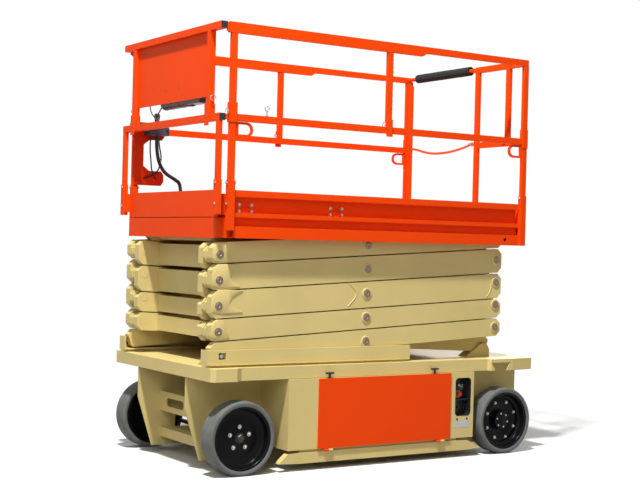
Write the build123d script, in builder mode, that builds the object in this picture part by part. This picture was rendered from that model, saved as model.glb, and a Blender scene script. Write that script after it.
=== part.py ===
"""Electric slab scissor lift with a roll-out deck, stowed.

Millimetres.  +X is the steered front, +Y the machine's left side, +Z up.
The origin is on the floor, under the middle of the machine.
"""
from build123d import *
import math
import os

# ---------------------------------------------------------------- driving sizes

# fits
SEAT_GAP = 0.15             # fixed pieces that touch on a round face
PIN_GAP = 0.1               # radial clearance of a running pin
WELD_GAP = 0.2              # between pieces welded against each other
SLIDE_GAP = 0.3             # between faces that run or hinge on each other

# the chassis deck, which the rest is set out from
DECK_HALF_LENGTH = 1140.0
APRON_HALF_WIDTH = 622.0
DECK_TOP = 588.0

# wheels
WHEEL_X = DECK_HALF_LENGTH - 208.0   # half the wheelbase
TYRE_RADIUS = 203.0
TYRE_WIDTH = 122.0
TYRE_WALL = 29.0            # rubber thickness over the rim
WHEEL_OUTER_Y = APRON_HALF_WIDTH - 11.0   # outer face of every tyre
KINGPIN_Y = WHEEL_OUTER_Y - 196.0
KINGPIN_RADIUS = 20.0
STUB_RADIUS = 25.0          # axle stubs
STUB_END_Y = WHEEL_OUTER_Y - 59.0
STEER_ARM = 110.0           # kingpin to tie rod pin
TIE_PIN_RADIUS = 9.0

# chassis
DECK_BOTTOM = DECK_TOP - 71.0
DECK_SHEET = 8.0
SKIRT_SHEET = 6.0
WAIST_HALF_WIDTH = APRON_HALF_WIDTH - 30.0
FRAME_Y = KINGPIN_Y - 110.0   # outer face of the long frame plates
FRAME_SHEET = 8.0
REAR_FRAME_Y = WHEEL_OUTER_Y - 141.0
BOX_FRONT_X = WHEEL_X - 287.0
BOX_REAR_X = -WHEEL_X + 246.0
BOX_OUTER_Y = WAIST_HALF_WIDTH + 11.0
BOX_BOTTOM = 118.0
BOX_TOP = DECK_BOTTOM - 2.0
BOX_SHEET = 6.0
DOOR_FRONT_X = BOX_FRONT_X - 189.0
DOOR_REAR_X = BOX_REAR_X + 187.0
DOOR_SHEET = 8.0
DOOR_GAP = 5.0
HINGE_RADIUS = 7.0
HINGE_LENGTH = 28.0
HINGE_X = (DOOR_REAR_X + 79.0, DOOR_FRONT_X - 76.0)
GUARD_BOTTOM = 42.0         # pothole guards above the floor

# scissor stack
REAR_PIN_X = -DECK_HALF_LENGTH + 259.0
FRONT_PIN_X = DECK_HALF_LENGTH - 71.0
FIRST_ROW_Z = DECK_TOP + 53.0
ROW_PITCH = 139.0
LEVELS = 5
ARM_WIDTH = 50.0
OUTER_ARM_Y = 490.0         # inner face of an outer arm
INNER_ARM_Y = 380.0         # inner face of an inner arm
ARM_PIN_RADIUS = 22.0
ARM_END = 45.0              # arm past its pin
SLIDE_END_RADIUS = 27.0
UPPER_TIP_RADIUS = 24.0
LUG_SHEET = 18.0            # end lugs between the inner and outer arms
LUG_OFFSET = 5.0            # lug clear of the neighbouring arms
LUG_REACH = 50.0
CROSS_INSET = (300.0, 105.0)  # cross members, from the rear pin and the front pin
CROSS_SHEET = 30.0

# lift cylinder
BARREL_RADIUS = 55.0
ROD_RADIUS = 30.0
BASE_EYE_RADIUS = 48.0
BASE_PIN_RADIUS = 26.0
ROD_EYE_RADIUS = 40.0
EYE_WIDTH = 80.0
BARREL_LENGTH = 690.0
BASE_RUN = 1400.0           # base pin along the lowest inner arm
BASE_DROP = 80.0            # and below its line of pins
HEAD_RUN = 600.0            # rod eye along the second inner arm
HEAD_RISE = 20.0
HEAD_TUBE_RISE = 105.0
CHEEK_SHEET = 12.0          # plates that carry the cylinder's cross tubes

# slide channels on the chassis, tracks under the platform
CHANNEL_REAR_X = -217.0
CHANNEL_BOTTOM = DECK_TOP + 13.0
CHANNEL_TOP = DECK_TOP + 95.0
CHANNEL_INNER_Y = OUTER_ARM_Y - 4.0
CHANNEL_OUTER_Y = OUTER_ARM_Y + 70.0
CHANNEL_SHEET = 8.0
ROLLER_GAP = 1.0
TRACK_SHEET = 6.0
TRACK_Y = (INNER_ARM_Y + 60.0, INNER_ARM_Y + 98.0)
UPPER_ROLLER_RADIUS = 24.0

# platform
TOP_ROW_Z = FIRST_ROW_Z + LEVELS * ROW_PITCH
PLATFORM_REAR_X = REAR_PIN_X - 159.0
PLATFORM_FRONT_X = FRONT_PIN_X + 30.0
PLATFORM_BOTTOM = TOP_ROW_Z - 50.0
FLOOR_Z = TOP_ROW_Z + 60.0   # top of the fixed floor
FLOOR_SHEET = 6.0
SIDE_Y = 605.0              # outer face of the platform's side sections
PANEL_HALF_WIDTH = SIDE_Y - 49.0
SIDE_SHEET = 5.0
TOE_TOP = FLOOR_Z + 150.0
RAIL_TOP = FLOOR_Z + 1046.0
MID_RAIL_TOP = FLOOR_Z + 557.0
RAIL_HEIGHT = 38.0
RAIL_DEPTH = 25.0
SIDE_RAIL_Y = SIDE_Y + 11.0   # outer face of the side guard rails
THICK_HEIGHT = 57.0
THICK_REAR_X = -247.0
SIDE_RAIL_FRONT_X = PLATFORM_FRONT_X - 19.0
SIDE_RAIL_REAR_X = PLATFORM_REAR_X - 2.0
POST_LENGTH = 36.0
POST_DEPTH = 22.0
FRONT_POST_X = PLATFORM_FRONT_X - 50.0
STRUT_X = 18.0
REAR_POST_X = PLATFORM_REAR_X + 14.0
LOOP_LENGTH = 105.0         # lanyard loops
LOOP_HEIGHT = 80.0
LOOP_BAR = 13.0
ENTRY_POST_Y = 150.0
PAD_RADIUS = 30.0
PAD_LENGTH = 570.0
GUARD_POST_Y = 450.0

# roll-out deck
GUARD_FRONT_X = PLATFORM_FRONT_X + 31.0
GUARD_TUBE = 38.0
GUARD_HALF_WIDTH = SIDE_Y + 2.0
LOWER_POST_Y = SIDE_Y - 15.0
UPPER_POST_Y = 470.0
EXTENSION_FLOOR = FLOOR_Z + 14.0
EXTENSION_SHEET = 5.0
EXTENSION_REAR_X = -150.0
INNER_TOE_Y = PANEL_HALF_WIDTH - 11.0
SLIDER_LENGTH = 1250.0
SLIDER_GAP = 2.0

os.makedirs("parts", exist_ok=True)


# ---------------------------------------------------------------- shared shapes

def block(x_range, y_range, z_range, mode=Mode.ADD):
    """A box between the given coordinates, in the part being built."""
    with Locations((x_range[0], y_range[0], z_range[0])):
        Box(x_range[1] - x_range[0], y_range[1] - y_range[0], z_range[1] - z_range[0],
            align=(Align.MIN, Align.MIN, Align.MIN), mode=mode)


def across(side, near, far):
    """The Y range between two distances from the middle, on one side."""
    return (near, far) if side > 0 else (-far, -near)


def side_plate(outline, y_range, mode=Mode.ADD):
    """A plate that stands along X: its outline is in X and Z."""
    with BuildSketch(Plane.XZ.offset(-y_range[1])) as profile:
        with BuildLine():
            Polyline(*outline, close=True)
        make_face()
    extrude(profile.sketch, amount=y_range[1] - y_range[0], mode=mode)


def long_profile(outline, x_range, mode=Mode.ADD):
    """A section in Y and Z drawn out along X."""
    with BuildSketch(Plane.YZ.offset(x_range[0])) as profile:
        with BuildLine():
            Polyline(*outline, close=True)
        make_face()
    extrude(profile.sketch, amount=x_range[1] - x_range[0], mode=mode)


def folded(points, thickness):
    """Outline of a folded sheet whose middle line runs through the points."""
    rows = {1: [], -1: []}
    for i, (y, z) in enumerate(points):
        before = points[max(i - 1, 0)]
        after = points[min(i + 1, len(points) - 1)]
        way_in = Vector(y - before[0], z - before[1])
        way_out = Vector(after[0] - y, after[1] - z)
        if i == 0:
            way_in = way_out
        if i == len(points) - 1:
            way_out = way_in
        way_in = way_in.normalized()
        way_out = way_out.normalized()
        mitre = Vector(-way_in.Y - way_out.Y, way_in.X + way_out.X).normalized()
        reach = thickness / 2 / mitre.dot(Vector(-way_in.Y, way_in.X))
        for sign, row in rows.items():
            row.append((y + sign * mitre.X * reach, z + sign * mitre.Y * reach))
    return rows[1] + rows[-1][::-1]


def round_bar(x, z, y_range, radius, mode=Mode.ADD):
    """A round bar or hole along Y."""
    with Locations(Plane(origin=(x, y_range[0], z), z_dir=(0, 1, 0))):
        Cylinder(radius, y_range[1] - y_range[0],
                 align=(Align.CENTER, Align.CENTER, Align.MIN), mode=mode)


def post_pin(x, y, z_range, radius, mode=Mode.ADD):
    """An upright round bar or hole."""
    with Locations((x, y, z_range[0])):
        Cylinder(radius, z_range[1] - z_range[0],
                 align=(Align.CENTER, Align.CENTER, Align.MIN), mode=mode)


def finish(builder, name):
    """Label one piece and write it as its own file."""
    builder.part.label = name
    export_step(builder.part, f"parts/{name}.step")


# ---------------------------------------------------------------- scissor geometry

ARM_REACH = math.hypot(FRONT_PIN_X - REAR_PIN_X, ROW_PITCH)
STOWED_ANGLE = math.atan2(ROW_PITCH, FRONT_PIN_X - REAR_PIN_X)
CENTRE_PIN_X = (FRONT_PIN_X + REAR_PIN_X) / 2


def row_z(row):
    """Height of a row of end pins, stowed."""
    return FIRST_ROW_Z + ROW_PITCH * row


# Outer arm tubes: their lower and upper edges near each end, from the end's pin.
BAND_FRONT_X = FRONT_PIN_X - 37
BAND_REAR_X = REAR_PIN_X + 45
# level: (front lower, front upper, rear lower, rear upper)
ARM_BANDS = {
    1: (-21.0, 86.0, -60.0, 47.0),
    2: (-46.0, 69.0, -85.0, 29.0),
    3: (-63.0, 84.0, -103.0, 48.0),
    4: (-48.0, 90.0, -84.0, 61.0),
    5: (-42.0, 71.0, -71.0, 36.0),
}


def band(level, x):
    """Lower and upper edge of an outer arm at x, stowed."""
    low_front, high_front, low_rear, high_rear = ARM_BANDS[level]
    share = (BAND_FRONT_X - x) / (BAND_FRONT_X - BAND_REAR_X)
    pin_line = row_z(level - 1) + ROW_PITCH * share
    return (pin_line + low_front + (low_rear - low_front) * share,
            pin_line + high_front + (high_rear - high_front) * share)


def mirrored(x):
    """The inner arms are the outer arms turned about the centre pins."""
    return 2 * CENTRE_PIN_X - x


def inner_point(level, run, rise):
    """X and Z of a point on an inner arm, from its rear pin along and across its line of pins."""
    cos, sin = math.cos(STOWED_ANGLE), math.sin(STOWED_ANGLE)
    return (REAR_PIN_X + run * cos - rise * sin,
            row_z(level - 1) + run * sin + rise * cos)


def arm_outline(level, tip_radius=None):
    """Outline of an outer arm in X and Z: low end at the front, high end at the rear.

    A tip radius rounds the high end close about its pin.
    """
    front = FRONT_PIN_X + ARM_END
    rear = REAR_PIN_X - ARM_END
    cut = 30.0
    front_low, front_high = band(level, front)
    rear_low, rear_high = band(level, rear)
    points = []
    if level == 1:
        points.append((FRONT_PIN_X - 49, band(level, FRONT_PIN_X - 49)[0]))
        for turn in (-120, -90, -60, -30):
            points.append((FRONT_PIN_X + SLIDE_END_RADIUS * math.cos(math.radians(turn)),
                           row_z(0) + SLIDE_END_RADIUS * math.sin(math.radians(turn))))
        points += [(front, row_z(0) + 40), (front, front_high - cut), (front - cut, front_high)]
    else:
        points += [(front - cut, front_low), (front, front_low + cut),
                   (front, front_high - cut), (front - cut, front_high)]
    if tip_radius:
        points.append((REAR_PIN_X + 40, band(level, REAR_PIN_X + 40)[1]))
        for turn in (110, 140, 170, 200, 230, 260):
            points.append((REAR_PIN_X + tip_radius * math.cos(math.radians(turn)),
                           row_z(level) + tip_radius * math.sin(math.radians(turn))))
        points.append((REAR_PIN_X + 40, band(level, REAR_PIN_X + 40)[0]))
    elif level == LEVELS:
        points += [(rear + 1.2 * cut, rear_high), (rear + cut / 4, row_z(LEVELS) + cut / 2),
                   (rear, row_z(LEVELS)), (rear, rear_low + cut), (rear + cut, rear_low)]
    else:
        points += [(rear + cut, rear_high), (rear, rear_high - cut),
                   (rear, rear_low + cut), (rear + cut, rear_low)]
    return points


def lug_outline(x, z, way):
    """An end lug about a pin: rounded past the pin, tapered back along the arm."""
    points = [(x - way * 1.7 * LUG_REACH, z - 0.35 * LUG_REACH),
              (x - way * 0.35 * LUG_REACH, z - LUG_REACH * 0.94)]
    for turn in (-60, -20, 20, 60):
        points.append((x + way * LUG_REACH * math.cos(math.radians(turn)),
                       z + LUG_REACH * math.sin(math.radians(turn))))
    points += [(x - way * 0.35 * LUG_REACH, z + LUG_REACH * 0.94),
               (x - way * 1.7 * LUG_REACH, z + 0.35 * LUG_REACH)]
    return points


# ---------------------------------------------------------------- chassis

# The deck is a pressed tray turned over: a top sheet with a skirt all round.
# Its plan narrows between the two aprons.
DECK_PLAN_HALF = [
    (DECK_HALF_LENGTH, APRON_HALF_WIDTH - 22), (DECK_HALF_LENGTH - 24, APRON_HALF_WIDTH),
    (WHEEL_X + 55, APRON_HALF_WIDTH), (WHEEL_X + 13, WAIST_HALF_WIDTH),
    (-WHEEL_X + 142, WAIST_HALF_WIDTH), (-WHEEL_X + 132, APRON_HALF_WIDTH - 2),
    (-WHEEL_X - 43, APRON_HALF_WIDTH), (-DECK_HALF_LENGTH, APRON_HALF_WIDTH - 21),
]
DECK_PLAN = DECK_PLAN_HALF + [(x, -y) for x, y in reversed(DECK_PLAN_HALF)]
FORK_NOTCH = [(-WHEEL_X + 130, DECK_TOP - 22), (-WHEEL_X - 19, DECK_TOP - 22),
              (-WHEEL_X + 13, DECK_BOTTOM - 1), (-WHEEL_X + 98, DECK_BOTTOM - 1)]

with BuildPart() as deck_tray:
    with BuildSketch(Plane.XY.offset(DECK_BOTTOM)) as plan:
        with BuildLine():
            Polyline(*DECK_PLAN, close=True)
        make_face()
    extrude(plan.sketch, amount=DECK_TOP - DECK_BOTTOM)
    with BuildSketch(Plane.XY.offset(DECK_BOTTOM)) as hollow:
        add(plan.sketch)
        offset(amount=-SKIRT_SHEET, kind=Kind.INTERSECTION)
    extrude(hollow.sketch, amount=DECK_TOP - DECK_SHEET - DECK_BOTTOM, mode=Mode.SUBTRACT)
    side_plate(FORK_NOTCH, (-APRON_HALF_WIDTH - 5, APRON_HALF_WIDTH + 5), mode=Mode.SUBTRACT)
finish(deck_tray, "deck_tray")

# Long plates under the deck: the front pair carries the steered wheels, its
# front edges raked back towards the floor, and the rear pair stands further out.
UNDER_DECK = DECK_TOP - DECK_SHEET - WELD_GAP
TIE_WINDOW = ((WHEEL_X - 147, WHEEL_X - 47), (150.0, 235.0))
NOSE_X = DECK_HALF_LENGTH - 7
TAIL_X = -DECK_HALF_LENGTH + 18
FRAME_OUTLINE = [(BOX_REAR_X + 8 + WELD_GAP, BOX_BOTTOM), (BOX_FRONT_X, BOX_BOTTOM),
                 (BOX_FRONT_X + 80, 46),
                 (NOSE_X - 96, 46), (NOSE_X, 340), (NOSE_X, UNDER_DECK),
                 (BOX_REAR_X + 8 + WELD_GAP, UNDER_DECK)]
REAR_FRAME_OUTLINE = [(BOX_REAR_X, 60), (TAIL_X + 62, 60), (TAIL_X, 300), (TAIL_X, UNDER_DECK),
                      (BOX_REAR_X, UNDER_DECK)]
with BuildPart() as chassis_frame:
    for side in (1, -1):
        frame_y = across(side, FRAME_Y - FRAME_SHEET, FRAME_Y)
        side_plate(FRAME_OUTLINE, frame_y)
        block(TIE_WINDOW[0], frame_y, TIE_WINDOW[1], mode=Mode.SUBTRACT)
        side_plate(REAR_FRAME_OUTLINE, across(side, REAR_FRAME_Y - FRAME_SHEET, REAR_FRAME_Y))
finish(chassis_frame, "chassis_frame")

RUNG_X = NOSE_X - 148
with BuildPart() as cross_members:
    front_width = FRAME_Y - FRAME_SHEET - WELD_GAP
    rear_width = REAR_FRAME_Y - FRAME_SHEET - WELD_GAP
    # x range, half width, z range
    for x_range, half_width, z_range in (
            ((RUNG_X - 8, RUNG_X), front_width, (253, 369)),
            ((RUNG_X - 60, RUNG_X), front_width, (100, 156)),
            ((BOX_REAR_X, BOX_REAR_X + 8), rear_width, (60, BOX_TOP)),
            ((TAIL_X, TAIL_X + 8), rear_width, (380, BOX_TOP)),
            ((TAIL_X + 92, TAIL_X + 162), rear_width, (150, 250))):
        block(x_range, (-half_width, half_width), z_range)
    with BuildSketch(Plane.YZ.offset(RUNG_X + 1)) as slot:
        with Locations((-110, 311)):
            SlotOverall(222, 50)
    extrude(slot.sketch, amount=-10, mode=Mode.SUBTRACT)
finish(cross_members, "cross_members")

LUG_Z = {"low": (118.0, 144.0), "high": (302.0, 328.0)}
with BuildPart() as axle_lugs:
    for side in (1, -1):
        for lug_z in LUG_Z.values():
            block((WHEEL_X - 34, WHEEL_X + 34), across(side, FRAME_Y + WELD_GAP, KINGPIN_Y + 30), lug_z)
        post_pin(WHEEL_X, side * KINGPIN_Y, (100, 340), KINGPIN_RADIUS + PIN_GAP, mode=Mode.SUBTRACT)
finish(axle_lugs, "axle_lugs")

# Ears either side of the lowest inner arms' rear ends, with their pins
EAR_OUTLINE = [(REAR_PIN_X + 141, DECK_TOP + WELD_GAP), (REAR_PIN_X + 26, row_z(0) + 27),
               (REAR_PIN_X, row_z(0) + 33),
               (REAR_PIN_X - 27, row_z(0) + 21), (REAR_PIN_X - 44, row_z(0) - 9),
               (REAR_PIN_X - 44, DECK_TOP + WELD_GAP)]
EAR_Y = ((INNER_ARM_Y - 18, INNER_ARM_Y - 6), (INNER_ARM_Y + 56, INNER_ARM_Y + 68))
with BuildPart() as pivot_ears:
    for side in (1, -1):
        for ear in EAR_Y:
            side_plate(EAR_OUTLINE, across(side, *ear))
        round_bar(REAR_PIN_X, row_z(0), across(side, EAR_Y[0][1] - 1, EAR_Y[1][0] + 1), ARM_PIN_RADIUS)
finish(pivot_ears, "pivot_ears")

# Slide channels: a folded section each side, closed at the front, where the
# lowest outer arms' rollers run.
with BuildPart() as slide_channels:
    for side in (1, -1):
        half = CHANNEL_SHEET / 2
        fold = folded([(side * CHANNEL_INNER_Y, CHANNEL_BOTTOM + half),
                       (side * (CHANNEL_OUTER_Y - half), CHANNEL_BOTTOM + half),
                       (side * (CHANNEL_OUTER_Y - half), CHANNEL_TOP - half),
                       (side * (CHANNEL_OUTER_Y - 15), CHANNEL_TOP - half)],
                      CHANNEL_SHEET)
        long_profile(fold, (CHANNEL_REAR_X, DECK_HALF_LENGTH))
        block((DECK_HALF_LENGTH - CHANNEL_SHEET, DECK_HALF_LENGTH),
              across(side, CHANNEL_INNER_Y, CHANNEL_OUTER_Y),
              (CHANNEL_BOTTOM, CHANNEL_TOP))
        block((CHANNEL_REAR_X, DECK_HALF_LENGTH), across(side, OUTER_ARM_Y + 15, OUTER_ARM_Y + 55),
              (DECK_TOP + WELD_GAP, CHANNEL_BOTTOM + 1))
        # window in front of the roller's pin
        block((FRONT_PIN_X - 44, FRONT_PIN_X), across(side, CHANNEL_OUTER_Y - 20, CHANNEL_OUTER_Y + 5),
              (row_z(0) - 9, row_z(0) + 27),
              mode=Mode.SUBTRACT)
finish(slide_channels, "slide_channels")

# Component boxes: one long compartment each side between the wheels, open to
# the side, where a door closes it.
CONTROL_RECESS = ((BOX_REAR_X + 31, BOX_REAR_X + 151), (BOX_TOP - 265, BOX_TOP - 35))
with BuildPart() as component_boxes:
    for side in (1, -1):
        y_in = FRAME_Y + WELD_GAP
        block((BOX_REAR_X + 8 + WELD_GAP, BOX_FRONT_X), across(side, y_in, BOX_OUTER_Y),
              (BOX_BOTTOM, BOX_TOP))
        block((DOOR_REAR_X + 12, DOOR_FRONT_X - 12), across(side, y_in - 1, BOX_OUTER_Y + 1),
              (BOX_BOTTOM + BOX_SHEET, BOX_TOP - BOX_SHEET), mode=Mode.SUBTRACT)
        # fixed half of each door hinge
        for x in HINGE_X:
            fixed = (x - HINGE_LENGTH - SLIDE_GAP, x - SLIDE_GAP)
            with Locations(Plane(origin=(fixed[0], side * (BOX_OUTER_Y + 8), BOX_BOTTOM - 8),
                                 z_dir=(1, 0, 0))):
                Cylinder(HINGE_RADIUS, HINGE_LENGTH, align=(Align.CENTER, Align.CENTER, Align.MIN))
            block(fixed, across(side, BOX_OUTER_Y - 12, BOX_OUTER_Y + 8), (BOX_BOTTOM - 11, BOX_BOTTOM))
    # ground control recess, left side only
    with BuildSketch(Plane.XZ.offset(-(BOX_OUTER_Y + 1))) as recess:
        with Locations((sum(CONTROL_RECESS[0]) / 2, sum(CONTROL_RECESS[1]) / 2)):
            RectangleRounded(CONTROL_RECESS[0][1] - CONTROL_RECESS[0][0],
                             CONTROL_RECESS[1][1] - CONTROL_RECESS[1][0], 24)
    extrude(recess.sketch, amount=71, mode=Mode.SUBTRACT)
finish(component_boxes, "component_boxes")

# Ground control panel at the back of its recess, with the stop button
STOP_BUTTON = (CONTROL_RECESS[0][0] + 67, CONTROL_RECESS[1][0] + 128)
with BuildPart() as ground_controls:
    with BuildSketch(Plane.XZ.offset(-(BOX_OUTER_Y - 61))) as panel:
        with Locations((sum(CONTROL_RECESS[0]) / 2, sum(CONTROL_RECESS[1]) / 2)):
            RectangleRounded(CONTROL_RECESS[0][1] - CONTROL_RECESS[0][0] - 2,
                             CONTROL_RECESS[1][1] - CONTROL_RECESS[1][0] - 2, 23)
    extrude(panel.sketch, amount=8.5)
    block((CONTROL_RECESS[0][0] + 1, CONTROL_RECESS[0][1] - 1), (BOX_OUTER_Y - 62, BOX_OUTER_Y - 22),
          (CONTROL_RECESS[1][0] + 94, CONTROL_RECESS[1][0] + 99))
    round_bar(*STOP_BUTTON, (BOX_OUTER_Y - 62, BOX_OUTER_Y - 20), 15)
finish(ground_controls, "ground_controls")

# Pothole guards: a shallow skid under each side with flared ends.
GUARD_OUTLINE = [(BOX_REAR_X - 61, 48), (BOX_REAR_X + 46, GUARD_BOTTOM), (BOX_FRONT_X - 70, GUARD_BOTTOM),
                 (BOX_FRONT_X + 55, 48), (BOX_FRONT_X - 5, 100), (BOX_FRONT_X - 85, BOX_BOTTOM - 14),
                 (BOX_REAR_X + 126, BOX_BOTTOM - 14), (BOX_REAR_X + 46, 100)]
with BuildPart() as pothole_guards:
    for side in (1, -1):
        side_plate(GUARD_OUTLINE, across(side, BOX_OUTER_Y - 47, BOX_OUTER_Y - 3))
        block((BOX_REAR_X + 126, BOX_FRONT_X - 85), across(side, BOX_OUTER_Y - 41, BOX_OUTER_Y - 15),
              (BOX_BOTTOM - 15, BOX_BOTTOM - WELD_GAP))
finish(pothole_guards, "pothole_guards")

with BuildPart() as battery_blocks:
    for side in (1, -1):
        for x in (-430.0, -150.0, 130.0):
            block((x, x + 262), across(side, FRAME_Y + 25, BOX_OUTER_Y - 43),
                  (BOX_BOTTOM + BOX_SHEET + WELD_GAP, BOX_TOP - 95))
finish(battery_blocks, "battery_blocks")

LADDER_X = (TAIL_X - 16, TAIL_X - WELD_GAP)
with BuildPart() as rear_ladder:
    for y in (-190.0, 160.0):
        block(LADDER_X, (y, y + 30), (130, BOX_TOP - 3))
    for z in (140.0, 300.0, 460.0):
        block((LADDER_X[0] + 2, LADDER_X[1] - 2), (-160 - 1, 160 + 1), (z, z + 30))
finish(rear_ladder, "rear_ladder")

# ---------------------------------------------------------------- doors

for name, side in (("left", 1), ("right", -1)):
    hinge_y = BOX_OUTER_Y + 8
    hinge_z = BOX_BOTTOM - 8
    with BuildPart() as door:
        block((DOOR_REAR_X + DOOR_GAP, DOOR_FRONT_X - DOOR_GAP),
              across(side, BOX_OUTER_Y + 1, BOX_OUTER_Y + 1 + DOOR_SHEET), (BOX_BOTTOM + 2, BOX_TOP - 2))
        for x in HINGE_X:
            with Locations(Plane(origin=(x, side * hinge_y, hinge_z), z_dir=(1, 0, 0))):
                Cylinder(HINGE_RADIUS, HINGE_LENGTH, align=(Align.CENTER, Align.CENTER, Align.MIN))
            block((x, x + HINGE_LENGTH), across(side, BOX_OUTER_Y + 2, BOX_OUTER_Y + 8),
                  (hinge_z, BOX_BOTTOM + 3))
    finish(door, f"door_{name}")

    with BuildPart() as latches:
        for x in (DOOR_FRONT_X - 75, DOOR_REAR_X + 130):
            top = BOX_TOP - 2 + WELD_GAP
            block((x - 7, x + 7), across(side, BOX_OUTER_Y + 2, BOX_OUTER_Y + 8), (top, top + 24))
            block((x - 27, x + 27), across(side, BOX_OUTER_Y + 1, BOX_OUTER_Y + 9), (top + 24, top + 34))
    finish(latches, f"latches_{name}")

# ---------------------------------------------------------------- wheels

WHEELS = (("front_left", WHEEL_X, 1), ("front_right", WHEEL_X, -1),
          ("rear_left", -WHEEL_X, 1), ("rear_right", -WHEEL_X, -1))
RIM_RADIUS = TYRE_RADIUS - TYRE_WALL
WHEEL_INNER_Y = WHEEL_OUTER_Y - TYRE_WIDTH
# half sections: radius from the axle, distance from the middle of the machine
TYRE_SECTION = [(RIM_RADIUS + SEAT_GAP, WHEEL_INNER_Y), (TYRE_RADIUS, WHEEL_INNER_Y),
                (TYRE_RADIUS, WHEEL_OUTER_Y), (RIM_RADIUS + SEAT_GAP, WHEEL_OUTER_Y)]
RIM_SECTION = [(STUB_RADIUS + PIN_GAP, WHEEL_INNER_Y + 2), (RIM_RADIUS, WHEEL_INNER_Y + 2),
               (RIM_RADIUS, WHEEL_OUTER_Y - 3), (RIM_RADIUS - 14, WHEEL_OUTER_Y - 3),
               (RIM_RADIUS - 14, STUB_END_Y + 8),
               (0, STUB_END_Y + 8), (0, STUB_END_Y + 1), (STUB_RADIUS + PIN_GAP, STUB_END_Y + 1)]
for name, x, side in WHEELS:
    for piece, section in (("tyre", TYRE_SECTION), ("rim", RIM_SECTION)):
        with BuildPart() as wheel_piece:
            with BuildSketch(Plane(origin=(x, 0, TYRE_RADIUS), x_dir=(1, 0, 0), z_dir=(0, 0, 1))) as half:
                with BuildLine():
                    Polyline(*[(radius, side * y) for radius, y in section], close=True)
                make_face()
            revolve(half.sketch, axis=Axis((x, 0, TYRE_RADIUS), (0, 1, 0)))
        finish(wheel_piece, f"{piece}_{name}")

# Steered knuckles: a block between the lugs, turning on its kingpin, with the
# drive motor's flange, the axle stub and the steering arm.
ARM_Z = (188.0, 210.0)
for name, side in (("left", 1), ("right", -1)):
    with BuildPart() as knuckle:
        post_pin(WHEEL_X, side * KINGPIN_Y, (LUG_Z["low"][0] - 4, LUG_Z["high"][1] + 4), KINGPIN_RADIUS)
        block((WHEEL_X - 34, WHEEL_X + 34), across(side, KINGPIN_Y - 32, KINGPIN_Y + 32),
              (LUG_Z["low"][1] + SLIDE_GAP, LUG_Z["high"][0] - SLIDE_GAP))
        round_bar(WHEEL_X, TYRE_RADIUS, across(side, KINGPIN_Y + 31, STUB_END_Y), STUB_RADIUS)
        round_bar(WHEEL_X, TYRE_RADIUS, across(side, KINGPIN_Y + 31, WHEEL_INNER_Y + 1), 56)
        block((WHEEL_X - STEER_ARM - 18, WHEEL_X), across(side, KINGPIN_Y - 18, KINGPIN_Y + 18), ARM_Z)
        post_pin(WHEEL_X - STEER_ARM, side * KINGPIN_Y, (ARM_Z[0] - 26, ARM_Z[0] + 1), TIE_PIN_RADIUS)
    finish(knuckle, f"knuckle_{name}")

with BuildPart() as tie_rod:
    rod_x = WHEEL_X - STEER_ARM
    rod_z = (ARM_Z[0] - 21, ARM_Z[0] - SLIDE_GAP)
    block((rod_x - 11, rod_x + 11), (-KINGPIN_Y, KINGPIN_Y), rod_z)
    for side, gap in ((1, PIN_GAP), (-1, SLIDE_GAP)):
        block((rod_x - 18, rod_x + 18), across(side, KINGPIN_Y - 18, KINGPIN_Y + 18), rod_z)
        post_pin(rod_x, side * KINGPIN_Y, (rod_z[0] - 1, rod_z[1] + 1), TIE_PIN_RADIUS + gap,
                 mode=Mode.SUBTRACT)
finish(tie_rod, "tie_rod")

with BuildPart() as rear_axles:
    for side in (1, -1):
        block((-WHEEL_X - 60, -WHEEL_X + 60), across(side, REAR_FRAME_Y + WELD_GAP, WHEEL_INNER_Y - 3),
              (TYRE_RADIUS - 60, TYRE_RADIUS + 60))
        round_bar(-WHEEL_X, TYRE_RADIUS, across(side, REAR_FRAME_Y + 1, STUB_END_Y), STUB_RADIUS)
finish(rear_axles, "rear_axles")

# ---------------------------------------------------------------- scissor arms

# The outer arms carry the pins, which run through the inner arms beside them.
# Where two arm ends meet, each has a rounded lug about the pin.
HOLE = ARM_PIN_RADIUS + PIN_GAP
EAR_TOP_Y = (OUTER_ARM_Y - 26, OUTER_ARM_Y - 6)   # the platform's ears
OUTER_LUG_Y = (OUTER_ARM_Y - LUG_OFFSET - LUG_SHEET, OUTER_ARM_Y - LUG_OFFSET)
INNER_LUG_Y = (INNER_ARM_Y + ARM_WIDTH + LUG_OFFSET, INNER_ARM_Y + ARM_WIDTH + LUG_OFFSET + LUG_SHEET)
OUTER_SEAT_Y = (OUTER_LUG_Y[1] - 1, OUTER_ARM_Y + 1)
INNER_SEAT_Y = (INNER_ARM_Y + ARM_WIDTH - 1, INNER_LUG_Y[0] + 1)


def end_lug(x, z, way, side, lug_y, seat_y):
    """A lug about a pin, on a seat that holds it clear of the arm above and below."""
    side_plate(lug_outline(x, z, way), across(side, *lug_y))
    block((x - LUG_REACH / 2, x + LUG_REACH / 2), across(side, *seat_y),
          (z - LUG_REACH / 2, z + LUG_REACH / 2))


# Rollers on the lowest outer arms' front ends, in the slide channels
LOWER_ROLLER_RADIUS = (CHANNEL_TOP - CHANNEL_BOTTOM) / 2 - CHANNEL_SHEET - ROLLER_GAP
with BuildPart() as channel_rollers:
    for side in (1, -1):
        round_bar(FRONT_PIN_X, (CHANNEL_TOP + CHANNEL_BOTTOM) / 2,
                  across(side, OUTER_ARM_Y + ARM_WIDTH + WELD_GAP,
                         CHANNEL_OUTER_Y - CHANNEL_SHEET - ROLLER_GAP),
                  LOWER_ROLLER_RADIUS)
finish(channel_rollers, "channel_rollers")

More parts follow.
